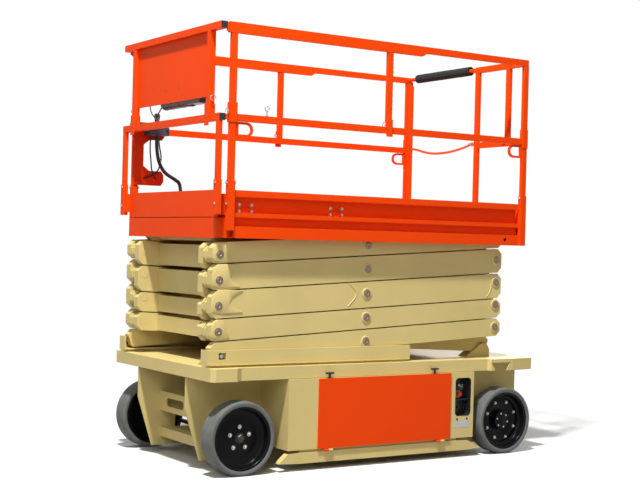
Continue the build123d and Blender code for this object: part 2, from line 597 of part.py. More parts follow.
for level in range(1, LEVELS + 1):
    low, middle, high = row_z(level - 1), (row_z(level - 1) + row_z(level)) / 2, row_z(level)

    with BuildPart() as outer_arms:
        for side in (1, -1):
            side_plate(arm_outline(level), across(side, OUTER_ARM_Y, OUTER_ARM_Y + ARM_WIDTH))
            pins = [(CENTRE_PIN_X, middle, INNER_ARM_Y - 1)]
            if level > 1:
                end_lug(FRONT_PIN_X, low, 1, side, OUTER_LUG_Y, OUTER_SEAT_Y)
                pins.append((FRONT_PIN_X, low, INNER_ARM_Y - 1))
            if level < LEVELS:
                end_lug(REAR_PIN_X, high, -1, side, OUTER_LUG_Y, OUTER_SEAT_Y)
                pins.append((REAR_PIN_X, high, INNER_ARM_Y - 1))
            else:
                # pin in the platform's ear
                pins.append((REAR_PIN_X, high, EAR_TOP_Y[0] - 1))
            for x, z, start in pins:
                round_bar(x, z, across(side, start, OUTER_ARM_Y + 1), ARM_PIN_RADIUS)
    finish(outer_arms, f"outer_arms_{level}")

    with BuildPart() as inner_arms:
        top_level = level == LEVELS
        tip_radius = UPPER_TIP_RADIUS if top_level else None
        turned = [(mirrored(x), z) for x, z in arm_outline(level, tip_radius)]
        for side in (1, -1):
            side_plate(turned, across(side, INNER_ARM_Y, INNER_ARM_Y + ARM_WIDTH))
            if top_level:
                # roller in the platform's track
                round_bar(FRONT_PIN_X, high,
                          across(side, INNER_ARM_Y + ARM_WIDTH - 1, TRACK_Y[1] - TRACK_SHEET - ROLLER_GAP),
                          UPPER_ROLLER_RADIUS)
            else:
                end_lug(FRONT_PIN_X, high, 1, side, INNER_LUG_Y, INNER_SEAT_Y)
            if level > 1:
                end_lug(REAR_PIN_X, low, -1, side, INNER_LUG_Y, INNER_SEAT_Y)
        for run in (CROSS_INSET[0], ARM_REACH - CROSS_INSET[1]):
            x, z = inner_point(level, run, 0)
            edge_low, edge_high = band(level, mirrored(x))
            block((x - CROSS_SHEET / 2, x + CROSS_SHEET / 2), (-INNER_ARM_Y - 1, INNER_ARM_Y + 1),
                  (edge_low + 8, edge_high - 8))
        cheek_y = (INNER_ARM_Y - LUG_OFFSET - CHEEK_SHEET, INNER_ARM_Y - LUG_OFFSET)
        cheek_seat_y = (INNER_ARM_Y - LUG_OFFSET - 1, INNER_ARM_Y + 1)
        tube_half = INNER_ARM_Y - LUG_OFFSET - 1
        if level == 1:
            base_x, base_z = inner_point(1, BASE_RUN, -BASE_DROP)
            round_bar(base_x, base_z, (-tube_half, tube_half), BASE_PIN_RADIUS)
            for side in (1, -1):
                side_plate([(base_x - 34, base_z - 30), (base_x + 34, base_z - 30),
                            (base_x + 80, base_z + 50),
                            (base_x + 60, base_z + 90), (base_x - 60, base_z + 90),
                            (base_x - 80, base_z + 50)],
                           across(side, *cheek_y))
                block((base_x - 50, base_x + 50), across(side, *cheek_seat_y), (base_z + 50, base_z + 88))
        if level == 2:
            head_x, head_z = inner_point(2, HEAD_RUN, HEAD_RISE)
            tube_x, tube_z = inner_point(2, HEAD_RUN, HEAD_TUBE_RISE)
            round_bar(tube_x, tube_z, (-tube_half, tube_half), 30)
            for side in (1, -1):
                side_plate([(tube_x - 34, tube_z + 32), (tube_x + 34, tube_z + 32),
                            (tube_x + 80, tube_z - 60),
                            (tube_x + 60, tube_z - 130), (tube_x - 60, tube_z - 130),
                            (tube_x - 80, tube_z - 60)],
                           across(side, *cheek_y))
                block((tube_x - 50, tube_x + 50), across(side, *cheek_seat_y),
                      (tube_z - 120, tube_z - 80))
                # fork plates either side of the rod eye
                side_plate([(tube_x - 34, tube_z), (tube_x + 34, tube_z), (head_x + 34, head_z - 10),
                            (head_x + 20, head_z - 32), (head_x - 20, head_z - 32),
                            (head_x - 34, head_z - 10)],
                           across(side, EYE_WIDTH / 2 + 6, EYE_WIDTH / 2 + 20))
        holes = [(CENTRE_PIN_X, middle), (REAR_PIN_X, low)] + ([] if top_level else [(FRONT_PIN_X, high)])
        for side in (1, -1):
            for x, z in holes:
                round_bar(x, z, across(side, INNER_ARM_Y - 1, INNER_LUG_Y[1] + 1), HOLE,
                          mode=Mode.SUBTRACT)
    finish(inner_arms, f"inner_arms_{level}")

# ---------------------------------------------------------------- lift cylinder

base_x, base_z = inner_point(1, BASE_RUN, -BASE_DROP)
head_x, head_z = inner_point(2, HEAD_RUN, HEAD_RISE)
CLOSED_LENGTH = math.hypot(head_x - base_x, head_z - base_z)
cylinder_dir = ((head_x - base_x) / CLOSED_LENGTH, 0, (head_z - base_z) / CLOSED_LENGTH)
cylinder_plane = Plane(origin=(base_x, 0, base_z), x_dir=(0, 1, 0), z_dir=cylinder_dir)


def along_cylinder(start, stop, radius, mode=Mode.ADD):
    """A round length of the cylinder, measured from its base pin."""
    with Locations(cylinder_plane.offset(start)):
        Cylinder(radius, stop - start, align=(Align.CENTER, Align.CENTER, Align.MIN), mode=mode)


with BuildPart() as lift_barrel:
    along_cylinder(30, BARREL_LENGTH, BARREL_RADIUS)
    round_bar(base_x, base_z, (-EYE_WIDTH / 2, EYE_WIDTH / 2), BASE_EYE_RADIUS)
    round_bar(base_x, base_z, (-BARREL_RADIUS - 1, BARREL_RADIUS + 1), BASE_PIN_RADIUS + PIN_GAP,
              mode=Mode.SUBTRACT)
    along_cylinder(BARREL_LENGTH - 460, BARREL_LENGTH + 1, ROD_RADIUS + SLIDE_GAP, mode=Mode.SUBTRACT)
finish(lift_barrel, "lift_barrel")

with BuildPart() as lift_rod:
    along_cylinder(BARREL_LENGTH - 455, CLOSED_LENGTH - 20, ROD_RADIUS)
    round_bar(head_x, head_z, (-EYE_WIDTH / 2, EYE_WIDTH / 2), ROD_EYE_RADIUS)
finish(lift_rod, "lift_rod")

# ---------------------------------------------------------------- platform

SLEEVE_HALF = POST_LENGTH / 2 + 3
SECTION_X = (REAR_POST_X + SLEEVE_HALF + WELD_GAP, FRONT_POST_X - SLEEVE_HALF - 2)
WEB_Y = PANEL_HALF_WIDTH - SIDE_SHEET / 2   # middle of the web that the floor stands between
FACE_Y = SIDE_Y - SIDE_SHEET / 2
FLOOR_EDGE_X = PLATFORM_FRONT_X - 4 - WELD_GAP
with BuildPart() as platform_deck:
    floor_y = WEB_Y - SIDE_SHEET / 2 - WELD_GAP
    block((PLATFORM_REAR_X + 6 + WELD_GAP, FLOOR_EDGE_X), (-floor_y, floor_y),
          (FLOOR_Z - FLOOR_SHEET, FLOOR_Z))
    # front panel, its side returns, rear panel
    block((PLATFORM_FRONT_X - 4, PLATFORM_FRONT_X), (-PANEL_HALF_WIDTH, PANEL_HALF_WIDTH),
          (PLATFORM_BOTTOM, FLOOR_Z))
    for side in (1, -1):
        block((SECTION_X[1] + WELD_GAP, FLOOR_EDGE_X),
              across(side, PANEL_HALF_WIDTH - SIDE_SHEET, PANEL_HALF_WIDTH), (PLATFORM_BOTTOM + 2, FLOOR_Z))
    rear_y = SIDE_RAIL_Y - RAIL_DEPTH - WELD_GAP
    block((PLATFORM_REAR_X, PLATFORM_REAR_X + 6), (-rear_y, rear_y), (PLATFORM_BOTTOM + 2, FLOOR_Z))
    # rear toe-boards beside the entry
    for y_range in ((ENTRY_POST_Y - 18, rear_y), (-rear_y, -PANEL_HALF_WIDTH + 4)):
        block((PLATFORM_REAR_X, PLATFORM_REAR_X + 6), y_range, (FLOOR_Z + WELD_GAP, TOE_TOP))
    # cross members under the floor
    for x in (-700.0, -350.0, 0.0, 350.0, 700.0):
        block((x, x + 40), (-INNER_ARM_Y + 8, INNER_ARM_Y - 8),
              (FLOOR_Z - 22, FLOOR_Z - FLOOR_SHEET - WELD_GAP))
finish(platform_deck, "platform_deck")

# Side sections: one sheet each side, folded into a bottom rail, a groove, a
# middle ledge and the toe-board with its top rail.
RAIL_BOTTOM = FLOOR_Z - 105.5
RAIL_SHOULDER = FLOOR_Z - 46.5
LEDGE = (FLOOR_Z + 6.5, FLOOR_Z + 26.5)
TOE_RAIL = (TOE_TOP - 33.5, TOE_TOP - 2.5)
GROOVE_Y = FACE_Y - 28
TOE_Y = FACE_Y - 37
SIDE_FOLDS = [(WEB_Y, FLOOR_Z), (WEB_Y, RAIL_BOTTOM), (FACE_Y, RAIL_BOTTOM), (FACE_Y, RAIL_SHOULDER),
              (GROOVE_Y, RAIL_SHOULDER), (GROOVE_Y, LEDGE[0]), (FACE_Y, LEDGE[0]), (FACE_Y, LEDGE[1]),
              (TOE_Y, LEDGE[1]), (TOE_Y, TOE_RAIL[0]), (FACE_Y, TOE_RAIL[0]), (FACE_Y, TOE_RAIL[1]),
              (TOE_Y, TOE_RAIL[1])]
TIE_HOLE = (REAR_PIN_X - 14, FLOOR_Z - 74, 12.0)
with BuildPart() as side_sections:
    for side in (1, -1):
        long_profile(folded([(side * y, z) for y, z in SIDE_FOLDS], SIDE_SHEET), SECTION_X)
        hole_x, hole_z, hole_radius = TIE_HOLE
        round_bar(hole_x, hole_z, across(side, SIDE_Y - 10, SIDE_Y + 10), hole_radius, mode=Mode.SUBTRACT)
finish(side_sections, "side_sections")

# Tracks under the floor for the top rollers, and ears over the rear pins
TRACK_Z = (row_z(LEVELS) - UPPER_ROLLER_RADIUS - ROLLER_GAP - TRACK_SHEET / 2,
           row_z(LEVELS) + UPPER_ROLLER_RADIUS + ROLLER_GAP + TRACK_SHEET / 2)
UNDER_FLOOR = FLOOR_Z - FLOOR_SHEET - WELD_GAP
with BuildPart() as platform_tracks:
    for side in (1, -1):
        web = side * (TRACK_Y[1] - TRACK_SHEET / 2)
        inner = side * TRACK_Y[0]
        fold = folded([(inner, TRACK_Z[0]), (web, TRACK_Z[0]), (web, TRACK_Z[1]), (inner, TRACK_Z[1])],
                      TRACK_SHEET)
        long_profile(fold, (CHANNEL_REAR_X, FLOOR_EDGE_X))
        block((CHANNEL_REAR_X, FLOOR_EDGE_X), across(side, TRACK_Y[0] + 10, TRACK_Y[1]),
              (TRACK_Z[1] + TRACK_SHEET / 2 - 1, UNDER_FLOOR))
finish(platform_tracks, "platform_tracks")

with BuildPart() as platform_ears:
    for side in (1, -1):
        side_plate([(REAR_PIN_X - 89, UNDER_FLOOR), (REAR_PIN_X - 31, TOP_ROW_Z - 30),
                    (REAR_PIN_X + 31, TOP_ROW_Z - 30),
                    (REAR_PIN_X + 91, UNDER_FLOOR)], across(side, *EAR_TOP_Y))
        round_bar(REAR_PIN_X, TOP_ROW_Z, across(side, EAR_TOP_Y[0] - 4, EAR_TOP_Y[1] + 4), HOLE,
                  mode=Mode.SUBTRACT)
finish(platform_ears, "platform_ears")


def tube_bore(x_range, side, z_range, bore):
    """The hollow of a side rail, in which a rail of the roll-out deck slides."""
    middle_y = side * (SIDE_RAIL_Y - RAIL_DEPTH / 2)
    middle_z = sum(z_range) / 2
    block((x_range[0] - 1, x_range[1] + 1), (middle_y - bore[0] / 2, middle_y + bore[0] / 2),
          (middle_z - bore[1] / 2, middle_z + bore[1] / 2), mode=Mode.SUBTRACT)


TOP_BORE = (17.0, 49.0)
MID_BORE = (17.0, 30.0)
MID_Z = (MID_RAIL_TOP - RAIL_HEIGHT, MID_RAIL_TOP)
THICK_Z = (RAIL_TOP - THICK_HEIGHT, RAIL_TOP)
SIDE_MID_X = (REAR_POST_X + SLEEVE_HALF + WELD_GAP, FRONT_POST_X - 24 - WELD_GAP)
BASE_TOP = FLOOR_Z + 202
BRACKET_Z = (FLOOR_Z + 34, FLOOR_Z + 144)
with BuildPart() as side_rails:
    for side in (1, -1):
        post_y = across(side, SIDE_RAIL_Y - POST_DEPTH, SIDE_RAIL_Y)
        rail_y = across(side, SIDE_RAIL_Y - RAIL_DEPTH, SIDE_RAIL_Y)
        sleeve_y = across(side, SIDE_RAIL_Y - RAIL_DEPTH, SIDE_RAIL_Y + 3)
        # top rail: the thick housing, its rear end cut back below, then the rear rail
        side_plate([(THICK_REAR_X, THICK_Z[1]), (SIDE_RAIL_FRONT_X, THICK_Z[1]),
                    (SIDE_RAIL_FRONT_X, THICK_Z[0]),
                    (THICK_REAR_X + 30, THICK_Z[0]), (THICK_REAR_X, THICK_Z[0] + 19)], rail_y)
        tube_bore((THICK_REAR_X, SIDE_RAIL_FRONT_X), side, THICK_Z, TOP_BORE)
        block((SIDE_RAIL_REAR_X, THICK_REAR_X - WELD_GAP), rail_y, (RAIL_TOP - RAIL_HEIGHT, RAIL_TOP))
        block(SIDE_MID_X, rail_y, MID_Z)
        tube_bore(SIDE_MID_X, side, MID_Z, MID_BORE)
        # upper posts
        # x, height of the foot, height of the head
        for x, foot, head in ((FRONT_POST_X, MID_RAIL_TOP + 60, THICK_Z[0]),
                              (STRUT_X, MID_RAIL_TOP, THICK_Z[0]),
                              (REAR_POST_X, MID_RAIL_TOP + 57, RAIL_TOP - RAIL_HEIGHT)):
            block((x - POST_LENGTH / 2, x + POST_LENGTH / 2), post_y, (foot + WELD_GAP, head - WELD_GAP))
        # strut foot, which laps the outside of the mid rail
        block((STRUT_X - SLEEVE_HALF, STRUT_X + SLEEVE_HALF),
              across(side, SIDE_RAIL_Y + WELD_GAP, SIDE_RAIL_Y + 5),
              (MID_Z[0] - 18, MID_RAIL_TOP + 44))
        # sleeves at mid height, and longer ones at the foot of each corner post
        front_sleeve = (FRONT_POST_X - 24, FRONT_POST_X + 24)
        block(front_sleeve, sleeve_y, (MID_Z[0] - 8, MID_RAIL_TOP + 60))
        tube_bore(front_sleeve, side, MID_Z, MID_BORE)
        block((REAR_POST_X - SLEEVE_HALF, REAR_POST_X + SLEEVE_HALF), sleeve_y,
              (MID_Z[0] - 22, MID_RAIL_TOP + 57))
        # x, bottom of the base sleeve, top of the lower post
        for x, bottom, top in ((FRONT_POST_X, FLOOR_Z - 68, MID_Z[0] - 8),
                               (REAR_POST_X, FLOOR_Z - 108, MID_Z[0] - 22)):
            block((x - SLEEVE_HALF, x + SLEEVE_HALF), sleeve_y, (bottom, BASE_TOP))
            block((x - POST_LENGTH / 2, x + POST_LENGTH / 2), post_y, (BASE_TOP - 1, top - WELD_GAP))
        # bracket between the front post and the side section
        block((SECTION_X[1] + WELD_GAP, SECTION_X[1] + 6),
              across(side, TOE_Y, SIDE_RAIL_Y - RAIL_DEPTH + 1), BRACKET_Z)
finish(side_rails, "side_rails")

# Lanyard loops: flat bar bent to a D against a small plate on the post
# post, side, height of the loop's top
LOOPS = ((FRONT_POST_X - 24, 1, MID_Z[0] - 3, -1), (REAR_POST_X + SLEEVE_HALF, 1, MID_Z[0] - 3, 1),
         (REAR_POST_X + SLEEVE_HALF, -1, MID_Z[0] - 3, 1))
with BuildPart() as lanyard_loops:
    for x, side, top, way in LOOPS:
        for inset, mode in ((0, Mode.ADD), (LOOP_BAR, Mode.SUBTRACT)):
            start = x + way * (WELD_GAP + inset)
            radius = LOOP_HEIGHT / 2 - inset
            middle_x = x + way * (LOOP_LENGTH - LOOP_HEIGHT / 2)
            outline = [(start, top - inset)]
            for turn in (90, 60, 30, 0, -30, -60, -90):
                outline.append((middle_x + way * radius * math.cos(math.radians(turn)),
                                top - LOOP_HEIGHT / 2 + radius * math.sin(math.radians(turn))))
            outline.append((start, top - LOOP_HEIGHT + inset))
            side_plate(outline, across(side, SIDE_RAIL_Y - 18, SIDE_RAIL_Y - 18 + LOOP_BAR), mode=mode)
finish(lanyard_loops, "lanyard_loops")

# Rear guard beside the entry
REAR_GUARD_X = (PLATFORM_REAR_X, PLATFORM_REAR_X + POST_DEPTH)
ENTRY_BAR_Z = RAIL_TOP - 18
ENTRY_BAR_RADIUS = 13.0
ENTRY_HINGE_Y = ENTRY_POST_Y - 36
with BuildPart() as rear_guard:
    inner_side = SIDE_RAIL_Y - RAIL_DEPTH - WELD_GAP
    beside = (ENTRY_POST_Y + 18 + WELD_GAP, inner_side)
    block(REAR_GUARD_X, (ENTRY_POST_Y - 18, ENTRY_POST_Y + 18), (TOE_TOP + WELD_GAP, RAIL_TOP))
    block(REAR_GUARD_X, beside, (RAIL_TOP - RAIL_HEIGHT, RAIL_TOP))
    block(REAR_GUARD_X, beside, MID_Z)
    block(REAR_GUARD_X, (GUARD_POST_Y - 18, GUARD_POST_Y + 18),
          (MID_RAIL_TOP + WELD_GAP, RAIL_TOP - RAIL_HEIGHT - WELD_GAP))
    # hinge knuckle for the entry bar
    with Locations(Plane(origin=(REAR_GUARD_X[0], ENTRY_HINGE_Y, ENTRY_BAR_Z), z_dir=(1, 0, 0))):
        Cylinder(15, 6, align=(Align.CENTER, Align.CENTER, Align.MIN))
    block((REAR_GUARD_X[0], REAR_GUARD_X[0] + 6), (ENTRY_HINGE_Y, ENTRY_POST_Y - 17),
          (ENTRY_BAR_Z - 15, ENTRY_BAR_Z + 15))
finish(rear_guard, "rear_guard")

# Post on the far side of the entry, with the fork that the bar rests in
CATCH_Y = -inner_side
with BuildPart() as entry_catch:
    block(REAR_GUARD_X, (CATCH_Y, CATCH_Y + 36), (TOE_TOP + WELD_GAP, RAIL_TOP - 62))
    block(REAR_GUARD_X, (CATCH_Y, CATCH_Y + 24),
          (RAIL_TOP - 63, ENTRY_BAR_Z - ENTRY_BAR_RADIUS - SLIDE_GAP))
finish(entry_catch, "entry_catch")

# Padded entry bar: hinged beside the entry post, resting on the far post
ENTRY_BAR_X = REAR_GUARD_X[0] + 6 + 2 * SLIDE_GAP + ENTRY_BAR_RADIUS
with BuildPart() as entry_bar:
    with Locations(Plane(origin=(ENTRY_BAR_X, ENTRY_HINGE_Y, ENTRY_BAR_Z), z_dir=(0, -1, 0))):
        Cylinder(ENTRY_BAR_RADIUS, ENTRY_HINGE_Y - CATCH_Y - 2,
                 align=(Align.CENTER, Align.CENTER, Align.MIN))
    with Locations(Plane(origin=(REAR_GUARD_X[0] + 6 + SLIDE_GAP, ENTRY_HINGE_Y, ENTRY_BAR_Z),
                         z_dir=(1, 0, 0))):
        Cylinder(15, 16, align=(Align.CENTER, Align.CENTER, Align.MIN))
finish(entry_bar, "entry_bar")

with BuildPart() as entry_pad:
    with Locations(Plane(origin=(ENTRY_BAR_X, ENTRY_HINGE_Y - 30, ENTRY_BAR_Z), z_dir=(0, -1, 0))):
        Cylinder(PAD_RADIUS, PAD_LENGTH, align=(Align.CENTER, Align.CENTER, Align.MIN))
        Cylinder(ENTRY_BAR_RADIUS + SEAT_GAP, PAD_LENGTH,
                 align=(Align.CENTER, Align.CENTER, Align.MIN), mode=Mode.SUBTRACT)
finish(entry_pad, "entry_pad")


# ---------------------------------------------------------------- roll-out deck

TOE_FRONT_X = (PLATFORM_FRONT_X - 6, PLATFORM_FRONT_X)
with BuildPart() as extension_deck:
    block((EXTENSION_REAR_X, PLATFORM_FRONT_X - 1), (-INNER_TOE_Y, INNER_TOE_Y),
          (EXTENSION_FLOOR, EXTENSION_FLOOR + EXTENSION_SHEET))
    block(TOE_FRONT_X, (-PANEL_HALF_WIDTH, PANEL_HALF_WIDTH), (FLOOR_Z + 4, TOE_TOP))
    for side in (1, -1):
        block((EXTENSION_REAR_X, PLATFORM_FRONT_X), across(side, INNER_TOE_Y - 5, INNER_TOE_Y),
              (EXTENSION_FLOOR, TOE_TOP - 20))
        # runners on the fixed floor
        block((EXTENSION_REAR_X + 20, PLATFORM_FRONT_X - 1), across(side, 480, 520),
              (FLOOR_Z + SLIDE_GAP, EXTENSION_FLOOR + 1))
        # brackets that carry the front posts
        block((PLATFORM_FRONT_X - 1, GUARD_FRONT_X - 2),
              across(side, PANEL_HALF_WIDTH - 6, LOWER_POST_Y - 21 - WELD_GAP), BRACKET_Z)
finish(extension_deck, "extension_deck")

GUARD_X = (GUARD_FRONT_X - GUARD_TUBE, GUARD_FRONT_X)
POST_X = (GUARD_FRONT_X - POST_DEPTH, GUARD_FRONT_X)
with BuildPart() as front_guard:
    for z in (RAIL_TOP - RAIL_HEIGHT, MID_Z[0]):
        block(GUARD_X, (-GUARD_HALF_WIDTH, GUARD_HALF_WIDTH), (z, z + RAIL_HEIGHT))
    for side in (1, -1):
        # lower post in its base sleeve
        block(POST_X, across(side, LOWER_POST_Y - 18, LOWER_POST_Y + 17),
              (BASE_TOP - 1, MID_Z[0] - WELD_GAP))
        block((POST_X[0] - 3, POST_X[1] + 4), across(side, LOWER_POST_Y - 21, LOWER_POST_Y + 20),
              (FLOOR_Z + 17, BASE_TOP))
        # upper post and its foot, which laps the front of the mid rail
        block((GUARD_X[0] + 4, GUARD_FRONT_X), across(side, UPPER_POST_Y - 18, UPPER_POST_Y + 18),
              (MID_RAIL_TOP + 57, RAIL_TOP - RAIL_HEIGHT - WELD_GAP))
        side_plate([(GUARD_X[0] + 1, MID_RAIL_TOP + WELD_GAP), (GUARD_X[0] + 1, MID_RAIL_TOP + 58),
                    (GUARD_FRONT_X + 6, MID_RAIL_TOP + 58), (GUARD_FRONT_X + 6, MID_Z[0] - 22),
                    (GUARD_FRONT_X + WELD_GAP, MID_Z[0] - 22),
                    (GUARD_FRONT_X + WELD_GAP, MID_RAIL_TOP + WELD_GAP)],
                   across(side, UPPER_POST_Y - 21, UPPER_POST_Y + 21))
        # rails that slide in the side guard
        for z_range, bore in ((THICK_Z, TOP_BORE), (MID_Z, MID_BORE)):
            middle_y = side * (SIDE_RAIL_Y - RAIL_DEPTH / 2)
            middle_z = sum(z_range) / 2
            half_y = bore[0] / 2 - SLIDER_GAP
            half_z = bore[1] / 2 - SLIDER_GAP
            block((GUARD_X[0] - SLIDER_LENGTH, GUARD_X[0] - WELD_GAP),
                  (middle_y - half_y, middle_y + half_y),
                  (middle_z - half_z, middle_z + half_z))
finish(front_guard, "front_guard")

PANEL_X = (GUARD_FRONT_X - 24, GUARD_FRONT_X - 20)
with BuildPart() as front_panel:
    panel_y = UPPER_POST_Y - 18 - WELD_GAP
    block(PANEL_X, (-panel_y, panel_y), (RAIL_TOP - 390, RAIL_TOP - RAIL_HEIGHT - WELD_GAP))
finish(front_panel, "front_panel")

with BuildPart() as rail_caps:
    for side in (1, -1):
        for z in (RAIL_TOP - RAIL_HEIGHT, MID_Z[0]):
            block((GUARD_X[0] + 1, GUARD_X[1] - 1),
                  across(side, GUARD_HALF_WIDTH + WELD_GAP, GUARD_HALF_WIDTH + 4),
                  (z + 1, z + RAIL_HEIGHT - 1))
finish(rail_caps, "rail_caps")

# Document tube and its box, behind the foot of the front panel
TUBE_RADIUS = 38.0
with BuildPart() as document_tube:
    tube_x = PANEL_X[0] - SLIDE_GAP - TUBE_RADIUS
    tube_z = RAIL_TOP - 382
    round_bar(tube_x, tube_z, (-150, 180), TUBE_RADIUS)
    block((tube_x - 20, PANEL_X[0] - WELD_GAP), (180 - 1, 330), (tube_z - 32, tube_z + 14))
finish(document_tube, "document_tube")

# ---------------------------------------------------------------- platform controls

# A plate cut to a C hangs inside the far front post: the control box is bolted
# to its upper arm and the cable leaves through its lower one.
BRACKET_Y = (-SIDE_RAIL_Y + RAIL_DEPTH + WELD_GAP, -SIDE_RAIL_Y + RAIL_DEPTH + WELD_GAP + 5)
# distance behind the front post, height over the mid rail's lower edge
BRACKET_OUTLINE = [(FRONT_POST_X + back, MID_Z[0] + rise) for back, rise in (
    (16, 70), (16, -315), (-169, -315), (-187, -290), (-187, -247), (-169, -225), (-89, -225),
    (-49, -195), (-49, -65), (-89, -35), (-169, -35), (-187, -15), (-187, 70))]
with BuildPart() as control_bracket:
    side_plate(BRACKET_OUTLINE, BRACKET_Y)
finish(control_bracket, "control_bracket")

BOX_X = FRONT_POST_X - 114
BOX_Y = (BRACKET_Y[1] + WELD_GAP, BRACKET_Y[1] + 85)
BOX_Z = MID_Z[0] - 10
STICK_Y = sum(BOX_Y) / 2
with BuildPart() as control_box:
    side_plate([(BOX_X - 65, BOX_Z), (BOX_X - 65, BOX_Z + 45), (BOX_X - 40, BOX_Z + 67),
                (BOX_X + 50, BOX_Z + 67),
                (BOX_X + 65, BOX_Z + 45), (BOX_X + 65, BOX_Z)], BOX_Y)
    post_pin(BOX_X, STICK_Y, (BOX_Z + 66, BOX_Z + 130), 11)
finish(control_box, "control_box")

CABLE_RADIUS = 12.0
CABLE_FOOT_X = BOX_X - 190
CABLE_FOOT_Y = -SIDE_Y + 28
CABLE_ROUTE = [(BOX_X, STICK_Y, BOX_Z - WELD_GAP), (BOX_X, STICK_Y, BOX_Z - 115),
               (BOX_X - 50, STICK_Y - 5, BOX_Z - 220), (BOX_X - 135, STICK_Y - 5, BOX_Z - 262),
               (CABLE_FOOT_X, CABLE_FOOT_Y, TOE_TOP + 72),
               (CABLE_FOOT_X, CABLE_FOOT_Y, TOE_TOP + WELD_GAP)]


def route_radii(points):
    """The largest bend at each corner that leaves both of its runs some straight."""
    radii = []
    for before, corner, after in zip(points, points[1:], points[2:]):
        way_in = Vector(*corner) - Vector(*before)
        way_out = Vector(*after) - Vector(*corner)
        half_turn = math.radians(way_in.get_angle(way_out)) / 2
        radii.append(0.45 * min(way_in.length, way_out.length) / math.tan(half_turn))
    return radii


def cord(points, radius):
    """A round cord along straight runs joined by tangent arcs."""
    with BuildLine() as route:
        FilletPolyline(*points, radius=route_radii(points))
    start = Vector(*points[1]) - Vector(*points[0])
    with BuildSketch(Plane(origin=points[0], z_dir=start)) as section:
        Circle(radius)
    sweep(section.sketch, path=route.line)
    print("cord radii", [round(value, 2) for value in route_radii(points)])


with BuildPart() as control_cable:
    cord(CABLE_ROUTE, CABLE_RADIUS)
finish(control_cable, "control_cable")

# Strap hooked across the entry at mid height
STRAP_RADIUS = 8.0
STRAP_X = REAR_GUARD_X[0] + POST_DEPTH / 2
STRAP_ENDS = (CATCH_Y + 36 + WELD_GAP, ENTRY_POST_Y - 18 - WELD_GAP)
# distance from the far post, height under the mid rail's top
STRAP_ROUTE = [(STRAP_X, STRAP_ENDS[0] + far, MID_RAIL_TOP + rise) for far, rise in (
    (0, -11), (42, -11), (150, -39), (272, -55), (444, -49), (600, -22))]
STRAP_ROUTE += [(STRAP_X, STRAP_ENDS[1] - 42, MID_RAIL_TOP - 8),
                (STRAP_X, STRAP_ENDS[1], MID_RAIL_TOP - 8)]
with BuildPart() as entry_strap:
    cord(STRAP_ROUTE, STRAP_RADIUS)
finish(entry_strap, "entry_strap")

print("arm reach", round(ARM_REACH, 3), "stowed angle", round(math.degrees(STOWED_ANGLE), 4))
print("cylinder", round(CLOSED_LENGTH, 2), [round(v, 5) for v in cylinder_dir])
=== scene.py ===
import bmesh
import bpy
import math
from mathutils import Matrix, Vector


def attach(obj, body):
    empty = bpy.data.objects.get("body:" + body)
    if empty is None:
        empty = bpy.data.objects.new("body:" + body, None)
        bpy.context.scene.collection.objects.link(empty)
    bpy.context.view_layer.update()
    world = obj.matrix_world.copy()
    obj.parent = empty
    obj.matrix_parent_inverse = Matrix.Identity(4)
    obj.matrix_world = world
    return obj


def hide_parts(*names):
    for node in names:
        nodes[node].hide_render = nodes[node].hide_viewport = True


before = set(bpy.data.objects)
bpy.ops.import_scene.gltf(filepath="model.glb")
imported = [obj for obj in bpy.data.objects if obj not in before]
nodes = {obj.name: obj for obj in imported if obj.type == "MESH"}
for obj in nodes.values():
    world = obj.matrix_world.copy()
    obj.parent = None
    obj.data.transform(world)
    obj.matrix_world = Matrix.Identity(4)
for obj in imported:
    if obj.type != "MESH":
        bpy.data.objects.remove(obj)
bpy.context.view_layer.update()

scene = bpy.context.scene

# ---------------------------------------------------------------- the studio
# A white sweep under one high key lamp, a broad fill lamp over the machine's
# front left side, a broad lamp behind it and a pale sky. The sweep shows the
# machine's shadow near it, and fades to pure white further out.

scene.view_settings.view_transform = "Standard"

camera_data = bpy.data.cameras.new("camera")
camera_data.lens = 72.67
camera_data.sensor_width = 36.0
camera_data.clip_end = 60.0
camera = bpy.data.objects.new("camera", camera_data)
camera.location = (4.4213, 6.6544, 1.2768)
camera.rotation_euler = tuple(math.radians(angle) for angle in (89.597, -1.478, 146.840))
scene.collection.objects.link(camera)
scene.camera = camera

SEEN_RAYS = ("Is Camera Ray", "Is Glossy Ray", "Is Transmission Ray")


def looked_at_directly(tree):
    """1 on the rays that things are seen by, 0 on the rays that carry light about the scene."""
    path = tree.nodes.new("ShaderNodeLightPath")
    found = path.outputs[SEEN_RAYS[0]]
    for ray in SEEN_RAYS[1:]:
        either = tree.nodes.new("ShaderNodeMath")
        either.operation = "MAXIMUM"
        tree.links.new(found, either.inputs[0])
        tree.links.new(path.outputs[ray], either.inputs[1])
        found = either.outputs["Value"]
    return found


world = bpy.data.worlds.new("studio_sky")
scene.world = world
world.use_nodes = True
sky = world.node_tree
sky.nodes.clear()
sky_out = sky.nodes.new("ShaderNodeOutputWorld")
sky_mix = sky.nodes.new("ShaderNodeMixShader")
sky_light = sky.nodes.new("ShaderNodeBackground")
sky_light.inputs["Color"].default_value = (0.95, 0.97, 1.0, 1.0)
sky_light.inputs["Strength"].default_value = 0.09
sky_seen = sky.nodes.new("ShaderNodeBackground")
sky_seen.inputs["Color"].default_value = (1.0, 1.0, 1.0, 1.0)
sky_seen.inputs["Strength"].default_value = 1.0
sky.links.new(looked_at_directly(sky), sky_mix.inputs["Fac"])
sky.links.new(sky_light.outputs["Background"], sky_mix.inputs[1])
sky.links.new(sky_seen.outputs["Background"], sky_mix.inputs[2])
sky.links.new(sky_mix.outputs["Shader"], sky_out.inputs["Surface"])

